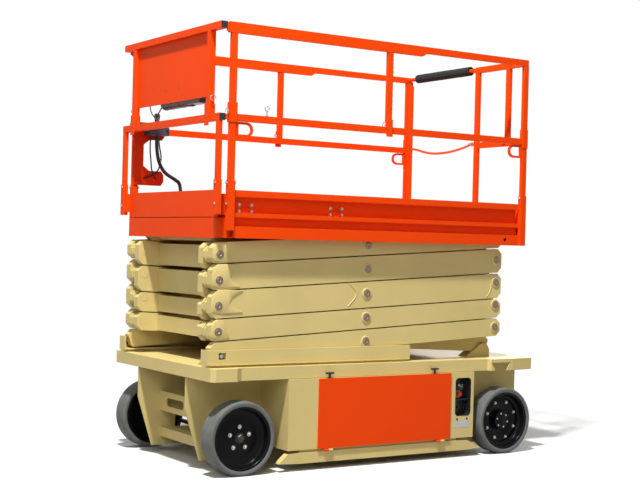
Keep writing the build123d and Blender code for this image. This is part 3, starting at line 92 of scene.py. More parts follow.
lamp_target = Vector((0.0, 0.0, 1.0))
for name, place, size, power, colour in (
        ("key_lamp", (3.10, 2.90, 8.97), 0.5, 1240.0, (1.0, 0.985, 0.95)),
        ("fill_lamp", (6.5, 6.5, 5.0), 5.0, 260.0, (0.97, 0.985, 1.0)),
        ("back_lamp", (-7.0, -5.0, 5.0), 5.0, 480.0, (0.97, 0.985, 1.0))):
    lamp = bpy.data.lights.new(name, "AREA")
    lamp.shape = "SQUARE"
    lamp.size = size
    lamp.energy = power
    lamp.color = colour
    lamp_object = bpy.data.objects.new(name, lamp)
    lamp_object.location = place
    aim = lamp_target - Vector(place)
    lamp_object.rotation_euler = aim.to_track_quat("-Z", "Y").to_euler()
    scene.collection.objects.link(lamp_object)

floor_bm = bmesh.new()
bmesh.ops.create_grid(floor_bm, x_segments=1, y_segments=1, size=30.0)
floor_mesh = bpy.data.meshes.new("floor")
floor_bm.to_mesh(floor_mesh)
floor_bm.free()
floor = bpy.data.objects.new("floor", floor_mesh)
scene.collection.objects.link(floor)
sweep = bpy.data.materials.new("white_sweep")
sweep.use_nodes = True
sweep_tree = sweep.node_tree
sweep_matt = sweep_tree.nodes["Principled BSDF"]
sweep_matt.inputs["Base Color"].default_value = (0.86, 0.86, 0.86, 1.0)
sweep_matt.inputs["Roughness"].default_value = 0.9
sweep_matt.inputs["Specular IOR Level"].default_value = 0.1
sweep_where = sweep_tree.nodes.new("ShaderNodeTexCoord")
sweep_far = sweep_tree.nodes.new("ShaderNodeVectorMath")
sweep_far.operation = "LENGTH"
sweep_tree.links.new(sweep_where.outputs["Object"], sweep_far.inputs[0])
sweep_fade = sweep_tree.nodes.new("ShaderNodeMapRange")
sweep_fade.interpolation_type = "SMOOTHSTEP"
sweep_fade.inputs["From Min"].default_value = 1.7
sweep_fade.inputs["From Max"].default_value = 3.4
sweep_tree.links.new(sweep_far.outputs["Value"], sweep_fade.inputs["Value"])
sweep_amount = sweep_tree.nodes.new("ShaderNodeMath")
sweep_amount.operation = "MULTIPLY"
sweep_tree.links.new(sweep_fade.outputs["Result"], sweep_amount.inputs[0])
sweep_tree.links.new(looked_at_directly(sweep_tree), sweep_amount.inputs[1])
sweep_bounce = sweep_tree.nodes.new("ShaderNodeBsdfDiffuse")
sweep_bounce.inputs["Color"].default_value = (0.42, 0.42, 0.42, 1.0)
sweep_near = sweep_tree.nodes.new("ShaderNodeMixShader")
sweep_tree.links.new(looked_at_directly(sweep_tree), sweep_near.inputs["Fac"])
sweep_tree.links.new(sweep_bounce.outputs["BSDF"], sweep_near.inputs[1])
sweep_tree.links.new(sweep_matt.outputs["BSDF"], sweep_near.inputs[2])
sweep_white = sweep_tree.nodes.new("ShaderNodeEmission")
sweep_white.inputs["Strength"].default_value = 1.0
sweep_mix = sweep_tree.nodes.new("ShaderNodeMixShader")
sweep_tree.links.new(sweep_amount.outputs["Value"], sweep_mix.inputs["Fac"])
sweep_tree.links.new(sweep_near.outputs["Shader"], sweep_mix.inputs[1])
sweep_tree.links.new(sweep_white.outputs["Emission"], sweep_mix.inputs[2])
sweep_tree.links.new(sweep_mix.outputs["Shader"], sweep_tree.nodes["Material Output"].inputs["Surface"])
floor_mesh.materials.append(sweep)

# ---------------------------------------------------------------- base frame
# Plate and folded sheet, welded and sprayed cream. Sprayed paint dries with
# softened corners, a faint pebble and slightly uneven colour.


def new_material(name):
    """A material, its node tree, its principled shader and its object coordinates."""
    material = bpy.data.materials.new(name)
    material.use_nodes = True
    tree = material.node_tree
    where = tree.nodes.new("ShaderNodeTexCoord").outputs["Object"]
    return material, tree, tree.nodes["Principled BSDF"], where


def noise(tree, where, scale, detail):
    """Cloudy noise from 0 to 1."""
    texture = tree.nodes.new("ShaderNodeTexNoise")
    texture.inputs["Scale"].default_value = scale
    texture.inputs["Detail"].default_value = detail
    tree.links.new(where, texture.inputs["Vector"])
    return texture.outputs["Fac"]


def shade_between(tree, amount, skin, low, high):
    """Base colour that goes with amount from low to high, each a (position, colour)."""
    ramp = tree.nodes.new("ShaderNodeValToRGB")
    for element, (position, colour) in zip(ramp.color_ramp.elements, (low, high)):
        element.position = position
        element.color = (*colour, 1.0)
    tree.links.new(amount, ramp.inputs["Fac"])
    tree.links.new(ramp.outputs["Color"], skin.inputs["Base Color"])


def roughness_between(tree, amount, skin, low, high):
    """Roughness that goes with amount from low to high."""
    gloss = tree.nodes.new("ShaderNodeMapRange")
    gloss.inputs["To Min"].default_value = low
    gloss.inputs["To Max"].default_value = high
    tree.links.new(amount, gloss.inputs["Value"])
    tree.links.new(gloss.outputs["Result"], skin.inputs["Roughness"])


def bumps(tree, height, skin, strength, distance):
    """Fine relief on the skin, from a height between 0 and 1."""
    bump = tree.nodes.new("ShaderNodeBump")
    bump.inputs["Strength"].default_value = strength
    bump.inputs["Distance"].default_value = distance
    tree.links.new(height, bump.inputs["Height"])
    tree.links.new(bump.outputs["Normal"], skin.inputs["Normal"])
    return bump


def sprayed_paint(name, colour, roughness, shine, unevenness=0.05, corner=0.0025):
    """Two-coat paint on steel; corner is the radius that its edges look rounded to."""
    material, tree, paint, where = new_material(name)
    paint.inputs["Specular IOR Level"].default_value = shine
    shade_between(tree, noise(tree, where, 2.4, 4.0), paint,
                  (0.3, tuple(c * (1 - unevenness) for c in colour)),
                  (0.7, tuple(min(1.0, c * (1 + unevenness)) for c in colour)))
    roughness_between(tree, noise(tree, where, 17.0, 6.0), paint, roughness - 0.05, roughness + 0.1)
    pebble = bumps(tree, noise(tree, where, 260.0, 1.0), paint, 0.035, 0.001)
    edges = tree.nodes.new("ShaderNodeBevel")
    edges.samples = 4
    edges.inputs["Radius"].default_value = corner
    tree.links.new(edges.outputs["Normal"], pebble.inputs["Normal"])
    return material


def finish_nodes(material, *names):
    """One finish over whole parts."""
    for name in names:
        mesh = nodes[name].data
        mesh.materials.clear()
        mesh.materials.append(material)


def add_piece(name, bm, finish, body, sharp=32.0):
    """A piece from its bmesh, which rides on a body of the machine."""
    mesh = bpy.data.meshes.new(name)
    bm.to_mesh(mesh)
    bm.free()
    mesh.materials.append(finish)
    mesh.shade_smooth()
    mesh.set_sharp_from_angle(angle=math.radians(sharp))
    piece = bpy.data.objects.new(name, mesh)
    scene.collection.objects.link(piece)
    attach(piece, body)
    return piece


def smooth_line(name, runs, resolution, order=3):
    """A curve laid along each run, which is its points and whether it closes on itself."""
    line = bpy.data.curves.new(name, "CURVE")
    line.dimensions = "3D"
    line.resolution_u = resolution
    for points, closed in runs:
        spline = line.splines.new("NURBS")
        spline.points.add(len(points) - 1)
        for point, place in zip(spline.points, points):
            point.co = (*place, 1.0)
        spline.order_u = order
        spline.use_cyclic_u = closed
        spline.use_endpoint_u = not closed
    return line


def run_of_rod(name, runs, radius, finish, body, order=3):
    """Round rod or a bead of weld along each run; the runs are one piece."""
    line = smooth_line(name, runs, 6, order)
    line.bevel_depth = radius
    line.bevel_resolution = 2
    line.use_fill_caps = True
    line.materials.append(finish)
    piece = bpy.data.objects.new(name, line)
    scene.collection.objects.link(piece)
    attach(piece, body)
    return piece


cream_paint = sprayed_paint("cream_paint", (0.66, 0.53, 0.215), 0.5, 0.22)
finish_nodes(cream_paint, "chassis_frame", "cross_members", "deck_tray", "axle_lugs", "pivot_ears",
             "slide_channels", "component_boxes", "rear_axles", "rear_ladder", "pothole_guards")

# weld beads where the slide channels stand on their packing strips
channel_rear, channel_front, channel_face, channel_foot = -0.217, 1.140, 0.560, 0.601
bead_sink = 0.001
run_of_rod("deck_welds",
           [([(channel_rear + 0.004, side * (channel_face - bead_sink), channel_foot + bead_sink),
              (channel_front - 0.03, side * (channel_face - bead_sink), channel_foot + bead_sink)], False)
            for side in (1, -1)],
           0.0022, cream_paint, "chassis", order=2)

# ---------------------------------------------------------------- wheels
# Solid grey non-marking tyres pressed on black painted steel rims. The front
# hubs have five studs and a castle nut, the rear ones a bolted motor cap.


def plain_finish(name, colour, roughness, metallic=0.0, shine=0.3, variation=0.06, grain=40.0):
    """A bare or moulded finish whose gloss wanders a little over the surface."""
    material, tree, skin, where = new_material(name)
    skin.inputs["Base Color"].default_value = (*colour, 1.0)
    skin.inputs["Metallic"].default_value = metallic
    skin.inputs["Specular IOR Level"].default_value = shine
    roughness_between(tree, noise(tree, where, grain, 3.0), skin, max(0.02, roughness - variation),
                      roughness + variation)
    return material


def turned(bm, profile, centre, axis, steps=32):
    """Turns a profile of (radius, distance along) about an axis and adds it to bm."""
    fresh = bmesh.new()
    corners = [fresh.verts.new((radius, 0.0, along)) for radius, along in profile]
    for one, other in zip(corners, corners[1:]):
        fresh.edges.new((one, other))
    bmesh.ops.spin(fresh, geom=fresh.verts[:] + fresh.edges[:], cent=(0.0, 0.0, 0.0),
                   axis=(0.0, 0.0, 1.0), angle=2 * math.pi, steps=steps, use_merge=True)
    bmesh.ops.remove_doubles(fresh, verts=fresh.verts[:], dist=1e-6)
    bmesh.ops.recalc_face_normals(fresh, faces=fresh.faces[:])
    stand = Vector((0.0, 0.0, 1.0)).rotation_difference(Vector(axis)).to_matrix().to_4x4()
    bmesh.ops.transform(fresh, matrix=Matrix.Translation(centre) @ stand, verts=fresh.verts[:])
    blank = bpy.data.meshes.new("turned_blank")
    fresh.to_mesh(blank)
    fresh.free()
    bm.from_mesh(blank)
    bpy.data.meshes.remove(blank)


def hex_head(bm, centre, axis, across_flats, height):
    """A hexagon bolt head or nut on a washer, standing on centre along axis."""
    axis = Vector(axis).normalized()
    stand = Vector((0.0, 0.0, 1.0)).rotation_difference(axis).to_matrix().to_4x4()
    radius = across_flats / math.sqrt(3)
    for sides, low, high, thick, start in ((20, radius * 1.25, radius * 1.25, height * 0.22, 0.0),
                                           (6, radius, radius, height * 0.58, height * 0.22),
                                           (6, radius, radius * 0.84, height * 0.2, height * 0.8)):
        place = Matrix.Translation(Vector(centre) + axis * (start + thick / 2)) @ stand
        bmesh.ops.create_cone(bm, cap_ends=True, segments=sides, radius1=low, radius2=high,
                              depth=thick, matrix=place)


def round_the_hub(hub, out, count, first, radius, standing):
    """Places for count fixings on a circle round a hub, from the angle first in degrees."""
    for number in range(count):
        angle = math.radians(first + 360 / count * number)
        yield hub + Vector((math.cos(angle) * radius, 0.0, math.sin(angle) * radius)) + out * standing


rubber, rubber_tree, rubber_skin, rubber_where = new_material("grey_rubber")
rubber_skin.inputs["Specular IOR Level"].default_value = 0.25
rubber_skin.inputs["Roughness"].default_value = 0.72
scuffs = noise(rubber_tree, rubber_where, 24.0, 7.0)
shade_between(rubber_tree, scuffs, rubber_skin, (0.3, (0.120, 0.127, 0.122)), (0.75, (0.160, 0.167, 0.160)))
bumps(rubber_tree, scuffs, rubber_skin, 0.12, 0.001)

rim_black = plain_finish("rim_black", (0.005, 0.005, 0.006), 0.24, shine=0.07, variation=0.08,
                         grain=22.0)
bright_zinc = plain_finish("bright_zinc", (0.40, 0.40, 0.39), 0.3, metallic=0.95, variation=0.1)
dark_nut = plain_finish("dark_nut", (0.045, 0.042, 0.038), 0.38, metallic=0.4)

wheel_x, wheel_y, wheel_z = 0.932, 0.550, 0.203
tyre_profile = [(0.1745, -0.050), (0.1765, -0.0565), (0.181, -0.0585), (0.1905, -0.0600),
                (0.1945, -0.0598), (0.1985, -0.0570), (0.2013, -0.0520), (0.2026, -0.0455),
                (0.2030, -0.0380), (0.2030, 0.0380), (0.2026, 0.0455), (0.2013, 0.0520),
                (0.1985, 0.0570), (0.1950, 0.0590), (0.1935, 0.0582), (0.1920, 0.0602),
                (0.1800, 0.0600), (0.1768, 0.0585), (0.1745, 0.0560), (0.1745, -0.050)]
barrel = [(0.1480, 0.0105), (0.1540, 0.0150), (0.1575, 0.0230), (0.1580, 0.0440), (0.1600, 0.0500),
          (0.1640, 0.0545), (0.1690, 0.0572), (0.1725, 0.0570), (0.1740, 0.0545), (0.1740, -0.0585),
          (0.1600, -0.0585), (0.1560, -0.0400), (0.1545, -0.0050), (0.1480, 0.0025), (0.0, 0.0025)]
front_dish = [(0.0, 0.0150), (0.0300, 0.0150), (0.0340, 0.0120), (0.0950, 0.0120), (0.1010, 0.0085),
              (0.1320, 0.0085)]
rear_dish = [(0.0, 0.0080), (0.0900, 0.0080), (0.0940, 0.0105), (0.1300, 0.0105), (0.1360, 0.0080),
             (0.1420, 0.0080)]
stud = [(0.0, 0.014), (0.005, 0.0135), (0.0075, 0.011), (0.0085, 0.0045), (0.0118, 0.004), (0.0122, 0.0),
        (0.0, 0.0)]
spindle = [(0.0, 0.034), (0.008, 0.034), (0.010, 0.032), (0.010, 0.0), (0.0, 0.0)]
motor_cap = [(0.0, 0.0330), (0.030, 0.0330), (0.034, 0.0300), (0.050, 0.0290), (0.055, 0.0260),
             (0.056, 0.0075), (0.0, 0.0075)]
for end, sign_x, dish in (("front", 1, front_dish), ("rear", -1, rear_dish)):
    for hand, side in (("left", 1), ("right", -1)):
        hub = Vector((sign_x * wheel_x, side * wheel_y, wheel_z))
        out = Vector((0.0, side, 0.0))
        body = f"wheel_{end}_{hand}"
        tyre_bm = bmesh.new()
        turned(tyre_bm, tyre_profile, hub, out, steps=96)
        tyre = add_piece(f"rubber_tyre_{end}_{hand}", tyre_bm, rubber, body, sharp=50)
        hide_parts(f"tyre_{end}_{hand}")
        rim_bm = bmesh.new()
        turned(rim_bm, dish + barrel, hub, out, steps=72)
        bright_bm = bmesh.new()
        if end == "front":
            for spot in round_the_hub(hub, out, 5, 90, 0.062, 0.012):
                turned(bright_bm, stud, spot, out, steps=14)
            nut_bm = bmesh.new()
            hex_head(nut_bm, hub + out * 0.0150, out, 0.038, 0.018)
            turned(nut_bm, spindle, hub, out, steps=16)
            add_piece(f"castle_nut_{hand}", nut_bm, dark_nut, body)
        else:
            turned(rim_bm, motor_cap, hub, out, steps=48)
            for spot in round_the_hub(hub, out, 8, 22.5, 0.115, 0.0103):
                hex_head(bright_bm, spot, out, 0.013, 0.009)
            for spot in round_the_hub(hub, out, 6, 15, 0.042, 0.0290):
                hex_head(bright_bm, spot, out, 0.008, 0.005)
        rim = add_piece(f"steel_rim_{end}_{hand}", rim_bm, rim_black, body, sharp=40)
        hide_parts(f"rim_{end}_{hand}")
        add_piece(f"wheel_bolts_{end}_{hand}", bright_bm, bright_zinc, body)

# ---------------------------------------------------------------- running gear
# Knuckles and tie rod between the frame plates are dark painted forgings. The
# batteries' moulded cases show when a side door is down.

forging_black = plain_finish("forging_black", (0.03, 0.03, 0.032), 0.42, metallic=0.2)
battery_case = plain_finish("battery_case", (0.028, 0.028, 0.03), 0.5)
finish_nodes(forging_black, "knuckle_left", "knuckle_right", "tie_rod")
finish_nodes(battery_case, "battery_blocks")

# ---------------------------------------------------------------- side doors
# Orange sheet doors hinged at their bottom edge, each with two black T latches
# at the top. The box wall beside the left door carries the ground controls.

orange_paint = sprayed_paint("orange_paint", (0.87, 0.062, 0.002), 0.46, 0.1, unevenness=0.02)
latch_rubber = plain_finish("latch_rubber", (0.02, 0.02, 0.021), 0.55)
finish_nodes(orange_paint, "door_left", "door_right")
finish_nodes(latch_rubber, "latches_left", "latches_right")

panel_black = plain_finish("panel_black", (0.016, 0.016, 0.018), 0.35)
stop_red = plain_finish("stop_red", (0.62, 0.012, 0.008), 0.28)
stop_yellow = plain_finish("stop_yellow", (0.82, 0.49, 0.02), 0.4)
finish_nodes(panel_black, "ground_controls")


def block_between(bm, low, high):
    """A square-edged block between two corners."""
    low, high = Vector(low), Vector(high)
    return bmesh.ops.create_cube(bm, size=1.0, matrix=Matrix.Translation((low + high) / 2)
                                 @ Matrix.Diagonal((*(high - low), 1.0)))


def oval_run(centre, wide, high, count=12):
    """A closed run of points round an oval with the half axes wide and high."""
    centre, wide, high = Vector(centre), Vector(wide), Vector(high)
    turns = (math.tau * number / count for number in range(count))
    return [tuple(centre + wide * math.cos(turn) + high * math.sin(turn)) for turn in turns], True


button_x, button_z, panel_y = -0.588, 0.378, 0.5505
button_bm = bmesh.new()
turned(button_bm, [(0.0, 0.0335), (0.010, 0.0330), (0.0160, 0.0305), (0.0185, 0.0265),
                   (0.0185, 0.0225), (0.0155, 0.0200), (0.0155, 0.012), (0.0, 0.012)],
       (button_x, panel_y, button_z), (0, 1, 0), steps=28)
add_piece("stop_button", button_bm, stop_red, "chassis")
collar_bm = bmesh.new()
turned(collar_bm, [(0.0156, 0.0), (0.0225, 0.0), (0.0235, 0.002), (0.0235, 0.011), (0.0215, 0.0135),
                   (0.0156, 0.0135), (0.0156, 0.0)], (button_x, panel_y, button_z), (0, 1, 0), steps=28)
add_piece("stop_collar", collar_bm, stop_yellow, "chassis")

key_bm = bmesh.new()
key_x, key_z = -0.606, 0.430
turned(key_bm, [(0.0, 0.006), (0.009, 0.006), (0.011, 0.004), (0.011, 0.0), (0.0, 0.0)],
       (key_x, panel_y, key_z), (0, 1, 0), steps=20)
block_between(key_bm, (key_x - 0.0015, panel_y + 0.006, key_z - 0.009),
              (key_x + 0.0015, panel_y + 0.028, key_z + 0.009))
add_piece("key_switch", key_bm, bright_zinc, "chassis")
key_ring = oval_run((key_x + 0.002, panel_y + 0.021, key_z - 0.016), (0.009, 0, 0), (0, 0.004, 0.011),
                    count=10)
run_of_rod("key_ring", [key_ring], 0.0008, bright_zinc, "chassis")

socket_bm = bmesh.new()
turned(socket_bm, [(0.0, 0.004), (0.012, 0.004), (0.012, 0.013), (0.0175, 0.014), (0.0195, 0.011),
                   (0.0195, 0.0), (0.0, 0.0)], (-0.580, panel_y, 0.300), (0, 1, 0), steps=28)
for x in (-0.557, -0.577, -0.617, -0.637):
    hex_head(socket_bm, (x, panel_y, 0.462), (0, 1, 0), 0.007, 0.003)
add_piece("charging_socket", socket_bm, panel_black, "chassis")


def rounded_block(bm, low, high, radius, segments=3):
    """A block between two corners with every edge rounded."""
    made = block_between(bm, low, high)
    edges = {edge for vert in made["verts"] for edge in vert.link_edges}
    bmesh.ops.bevel(bm, geom=list(edges), offset=radius, segments=segments, profile=0.5,
                    affect="EDGES", material=-1)


# a thin black sheet round the walls, floor and top of the recess: painted shade for the dark inside of the
# recess
shade_sheet_bm = bmesh.new()
block_between(shade_sheet_bm, (-0.6549, 0.5425, 0.2501), (-0.5351, 0.6034, 0.4799))
shade_sheet_corners = [edge for edge in shade_sheet_bm.edges
                 if abs((edge.verts[0].co - edge.verts[1].co).normalized().y) > 0.99]
bmesh.ops.bevel(shade_sheet_bm, geom=shade_sheet_corners, offset=0.0238, segments=6, profile=0.5, affect="EDGES",
                material=-1)
bmesh.ops.delete(shade_sheet_bm, geom=[face for face in shade_sheet_bm.faces if abs(face.normal.y) > 0.99],
                 context="FACES_ONLY")
bmesh.ops.solidify(shade_sheet_bm, geom=shade_sheet_bm.faces[:], thickness=0.0008)
bmesh.ops.recalc_face_normals(shade_sheet_bm, faces=shade_sheet_bm.faces[:])
add_piece("recess_shade_sheet", shade_sheet_bm, panel_black, "chassis")

# blank data plate and the bolts round it, on the wall under the controls
plate_bm = bmesh.new()
rounded_block(plate_bm, (-0.645, 0.6028, 0.180), (-0.535, 0.6042, 0.225), 0.0006, 1)
for x in (-0.640, -0.540):
    for z in (0.185, 0.220):
        turned(plate_bm, [(0.0, 0.0018), (0.002, 0.0015), (0.0028, 0.0), (0.0, 0.0)], (x, 0.6040, z),
               (0, 1, 0), steps=12)
plate_alloy = plain_finish("plate_alloy", (0.46, 0.46, 0.45), 0.5, metallic=0.4, variation=0.02,
                           grain=12.0)
add_piece("data_plate", plate_bm, plate_alloy, "chassis")
wall_bolt_bm = bmesh.new()
for x in (-0.552, -0.628):
    hex_head(wall_bolt_bm, (x, 0.6030, 0.232), (0, 1, 0), 0.009, 0.005)
add_piece("box_wall_bolts", wall_bolt_bm, dark_nut, "chassis")

# ---------------------------------------------------------------- scissor arms
# Box-section arms. The pins end in bronze-brown heads on welded round bosses;
# cast forked end plates are let into the arms' front ends.

levels = range(1, 6)
finish_nodes(cream_paint, *(f"{kind}_arms_{level}" for kind in ("outer", "inner") for level in levels))
pin_steel = plain_finish("pin_steel", (0.21, 0.155, 0.12), 0.34, metallic=0.85, variation=0.12)

front_pin_x, centre_pin_x, rear_pin_x = 1.069, 0.094, -0.881
first_row_z, row_pitch = 0.641, 0.139
arm_face_y = 0.540
boss = [(0.0, 0.0), (0.0325, 0.0), (0.0325, 0.0035), (0.0305, 0.0058), (0.0270, 0.0062), (0.0, 0.0062)]
pin_head = [(0.0, 0.0068), (0.0045, 0.0070), (0.0075, 0.0098), (0.0150, 0.0098), (0.0165, 0.0086),
            (0.0215, 0.0084), (0.0230, 0.0074), (0.0235, 0.0050), (0.0, 0.0050)]


def row(level):
    """Height of a row of pins at the arms' ends."""
    return first_row_z + row_pitch * level


def flat_piece(bm, outline, y_inner, y_outer, edge):
    """A plate cut to an outline in x and z, with its outer edges rounded."""
    corners = [bm.verts.new((x, y_inner, z)) for x, z in outline]
    face = bm.faces.new(corners)
    pulled = bmesh.ops.extrude_face_region(bm, geom=[face])
    moved = [part for part in pulled["geom"] if isinstance(part, bmesh.types.BMVert)]
    bmesh.ops.translate(bm, verts=moved, vec=(0.0, y_outer - y_inner, 0.0))
    outer_edges = {side for vert in moved for side in vert.link_edges
                   if all(end in moved for end in side.verts)}
    bmesh.ops.bevel(bm, geom=list(outer_edges), offset=edge, segments=2, profile=0.5, affect="EDGES",
                    material=-1)
    bmesh.ops.recalc_face_normals(bm, faces=bm.faces[:])


for level in levels:
    bosses_bm, heads_bm = bmesh.new(), bmesh.new()
    low, middle, high = row(level - 1), row(level) - row_pitch / 2, row(level)
    spots = [(centre_pin_x, middle)]
    if level > 1:
        spots.append((front_pin_x, low))
    spots.append((rear_pin_x, high))
    for side in (1, -1):
        out = (0, side, 0)
        for x, z in spots:
            face = (x, side * (arm_face_y - 0.0005), z)
            turned(bosses_bm, boss, face, out, steps=36)
            turned(heads_bm, pin_head, face, out, steps=36)
    add_piece(f"pin_bosses_{level}", bosses_bm, cream_paint, f"outer_{level}")
    add_piece(f"pin_heads_{level}", heads_bm, pin_steel, f"outer_{level}")


def end_plate(level, reach):
    """Outline of a cast end plate round a front pin: (forwards, up) from the pin."""
    if level in (2, 5):
        return [(0.036, -0.030), (0.042, 0.006), (0.030, 0.048), (0.008, 0.068), (-0.030, 0.066),
                (-0.040, 0.040), (-0.050, 0.010), (-reach, -0.030), (-0.030, -0.040)]
    return [(0.040, -0.030), (0.046, 0.010), (0.030, 0.060), (0.005, 0.088), (-0.055, 0.090),
            (-reach, 0.086), (0.016 - reach, 0.078), (-0.080, 0.048), (-0.068, 0.020),
            (-0.090, -0.008), (0.006 - reach, -0.026), (-reach, -0.034), (-0.030, -0.040)]


# cast end plates of the outer arms' front ends, forked towards the arm on the long ones
for level, reach in ((2, 0.072), (3, 0.150), (4, 0.128), (5, 0.070)):
    cast_bm = bmesh.new()
    fork = [(front_pin_x + forwards, row(level - 1) + up) for forwards, up in end_plate(level, reach)]
    for side in (1, -1):
        flat_piece(cast_bm, fork, side * (arm_face_y - 0.001), side * (arm_face_y + 0.0050), 0.0018)
    add_piece(f"fork_plates_{level}", cast_bm, cream_paint, f"outer_{level}")

# weld beads round the stiffening plates that are let into the third arm
bead_y = arm_face_y - 0.0006
centre_bead = [(0.224, 1.049), (0.186, 1.018), (0.160, 0.984), (0.188, 0.946), (0.224, 0.914)]
rear_bead = [(-0.826, 1.092), (-0.846, 1.062), (-0.850, 1.030), (-0.836, 0.992), (-0.812, 0.968)]
run_of_rod("arm_welds_3",
           [([(x, side * bead_y, z) for x, z in bead], False)
            for bead in (centre_bead, rear_bead) for side in (1, -1)],
           0.0040, cream_paint, "outer_3")
for level in (2, 4):
    rear_z = row(level)
    run_of_rod(f"arm_welds_{level}",
               [([(-0.826, side * bead_y, rear_z + 0.020), (-0.842, side * bead_y, rear_z),
                  (-0.836, side * bead_y, rear_z - 0.030)], False) for side in (1, -1)],
               0.0032, cream_paint, f"outer_{level}")

# black nylon rollers in the channels, seen through the windows with their bolts
roller_black = plain_finish("roller_black", (0.014, 0.013, 0.013), 0.4)
finish_nodes(roller_black, "channel_rollers")
roller_face_y = 0.5505
slide_bolt_bm = bmesh.new()
for side in (1, -1):
    turned(slide_bolt_bm, [(0.0, 0.0), (0.0105, 0.0), (0.0105, 0.0012), (0.0080, 0.0014), (0.0, 0.0010)],
           (front_pin_x - 0.020, side * roller_face_y, first_row_z + 0.008), (0, side, 0), steps=20)
add_piece("slide_bolts", slide_bolt_bm, bright_zinc, "outer_1")

# ---------------------------------------------------------------- lift cylinder
# One long hydraulic cylinder between the lower arms: a black painted barrel
# and a hard-chromed rod, with the gland nut screwed into the barrel's end.

barrel_black = plain_finish("barrel_black", (0.02, 0.02, 0.021), 0.3)
hard_chrome = plain_finish("hard_chrome", (0.75, 0.75, 0.76), 0.12, metallic=1.0, variation=0.04)
finish_nodes(barrel_black, "lift_barrel")
finish_nodes(hard_chrome, "lift_rod")
base_pin, rod_pin = Vector((0.52114, 0.0, 0.66074)), Vector((-0.28394, 0.0, 0.84261))
along_rod = (rod_pin - base_pin).normalized()
gland_bm = bmesh.new()
turned(gland_bm, [(0.0312, 0.0), (0.0565, 0.0), (0.0580, 0.002), (0.0580, 0.016), (0.0560, 0.018),
                  (0.0470, 0.018), (0.0455, 0.023), (0.0330, 0.023), (0.0312, 0.021), (0.0312, 0.0)],
       base_pin + along_rod * 0.668, along_rod, steps=40)
add_piece("gland_nut", gland_bm, forging_black, "barrel")

# ---------------------------------------------------------------- platform
# Folded orange sheet and rectangular tube, welded and powder coated. Bolts,
# four-hole brackets and sleeves join the guard rails to the toe-boards.

finish_nodes(orange_paint, "platform_deck", "side_sections", "platform_tracks", "platform_ears",
             "side_rails", "rear_guard", "entry_catch", "lanyard_loops", "extension_deck", "front_guard",
             "front_panel", "entry_bar")


def clipped_plate(x, half, foot, shoulder, top_half, top):
    """Outline of an upright plate whose two upper corners are cut off."""
    return [(x - half, foot), (x + half, foot), (x + half, shoulder), (x + top_half, top),
            (x - top_half, top), (x - half, shoulder)]


bracket_bm, platform_bolts_bm = bmesh.new(), bmesh.new()
toe_face_y = 0.5640
for side in (1, -1):
    for x in (0.935, 0.343):
        flat_piece(bracket_bm, clipped_plate(x, 0.050, 1.424, 1.470, 0.040, 1.484),
                   side * (toe_face_y - 0.001), side * (toe_face_y + 0.006), 0.0015)
        flat_piece(bracket_bm, clipped_plate(x, 0.024, 1.425, 1.450, 0.018, 1.456),
                   side * (toe_face_y + 0.005), side * (toe_face_y + 0.014), 0.002)
        for bolt_x in (x - 0.039, x + 0.039):
            for bolt_z in (1.434, 1.470):
                hex_head(platform_bolts_bm, (bolt_x, side * (toe_face_y + 0.0058), bolt_z),
                         (0, side, 0), 0.012, 0.007)
add_piece("toe_brackets", bracket_bm, orange_paint, "platform")

# bolts through the post sleeves: heads on the front, and a nut behind the front sleeve
front_post, rear_post = 1.049, -1.026
sleeve_bolt_y, sleeve_bolt_z, foot_bolt_z = 0.605, 1.583, 1.470
sleeve_half = 0.024
for side in (1, -1):
    for x, z, ways in ((front_post, sleeve_bolt_z, (1, -1)), (rear_post, sleeve_bolt_z, (1,)),
                       (front_post, foot_bolt_z, (1,))):
        for way in ways:
            hex_head(platform_bolts_bm, (x + way * sleeve_half, side * sleeve_bolt_y, z), (way, 0, 0),
                     0.013, 0.007)
add_piece("platform_bolts", platform_bolts_bm, bright_zinc, "platform")

guard_foot_x, guard_foot_y = 1.1305, 0.5895
guard_bolts_bm = bmesh.new()
for side in (1, -1):
    for z in (sleeve_bolt_z, foot_bolt_z):
        hex_head(guard_bolts_bm, (guard_foot_x, side * guard_foot_y, z), (1, 0, 0), 0.013, 0.007)
add_piece("guard_bolts", guard_bolts_bm, bright_zinc, "extension")


def pull_pin(runs, stem_start, stem_way, ring_centre, ring_across):
    """A spring pin with a pull ring: its stem, then the ring as a closed run."""
    ring_radius = 0.0165
    start, way = Vector(stem_start), Vector(stem_way)
    runs.append(([tuple(start), tuple(start + way * 0.5), tuple(start + way)], False))
    runs.append(oval_run(ring_centre, Vector(ring_across) * ring_radius, (0, 0, ring_radius)))


# pull-ring pins that hold the folding rails up
strut = 0.018
platform_pins, guard_pins = [], []
for side in (1, -1):
    pull_pin(platform_pins, (front_post + 0.023, side * 0.602, 1.978), (0.010, 0, 0),
             (front_post + 0.032, side * 0.602, 1.964), (0, side, 0))
    pull_pin(platform_pins, (strut + 0.020, side * 0.612, 1.975), (0.012, 0, 0),
             (strut + 0.031, side * 0.606, 1.960), (0, side, 0))
    pull_pin(guard_pins, (1.112, side * 0.4885, 2.026), (0, side * 0.016, 0),
             (1.112, side * 0.503, 2.040), (1, 0, 0))
run_of_rod("post_pull_pins", platform_pins, 0.0020, bright_zinc, "platform")
run_of_rod("guard_pull_pins", guard_pins, 0.0022, bright_zinc, "extension")

# lifting eye on the left mid rail
eye_x, eye_y, rail_top = 0.833, 0.6035, 1.953
eye_bm = bmesh.new()
turned(eye_bm, [(0.0, 0.030), (0.004, 0.030), (0.0046, 0.008), (0.0095, 0.006), (0.0095, 0.0),
                (0.0, 0.0)],
       (eye_x, eye_y, rail_top - 0.001), (0, 0, 1), steps=20)
add_piece("eye_bolt_shank", eye_bm, bright_zinc, "platform")
run_of_rod("eye_bolt_ring",
           [oval_run((eye_x, eye_y, rail_top + 0.0425), (0.0135, 0, 0), (0, 0, 0.0135))],
           0.0030, bright_zinc, "platform")

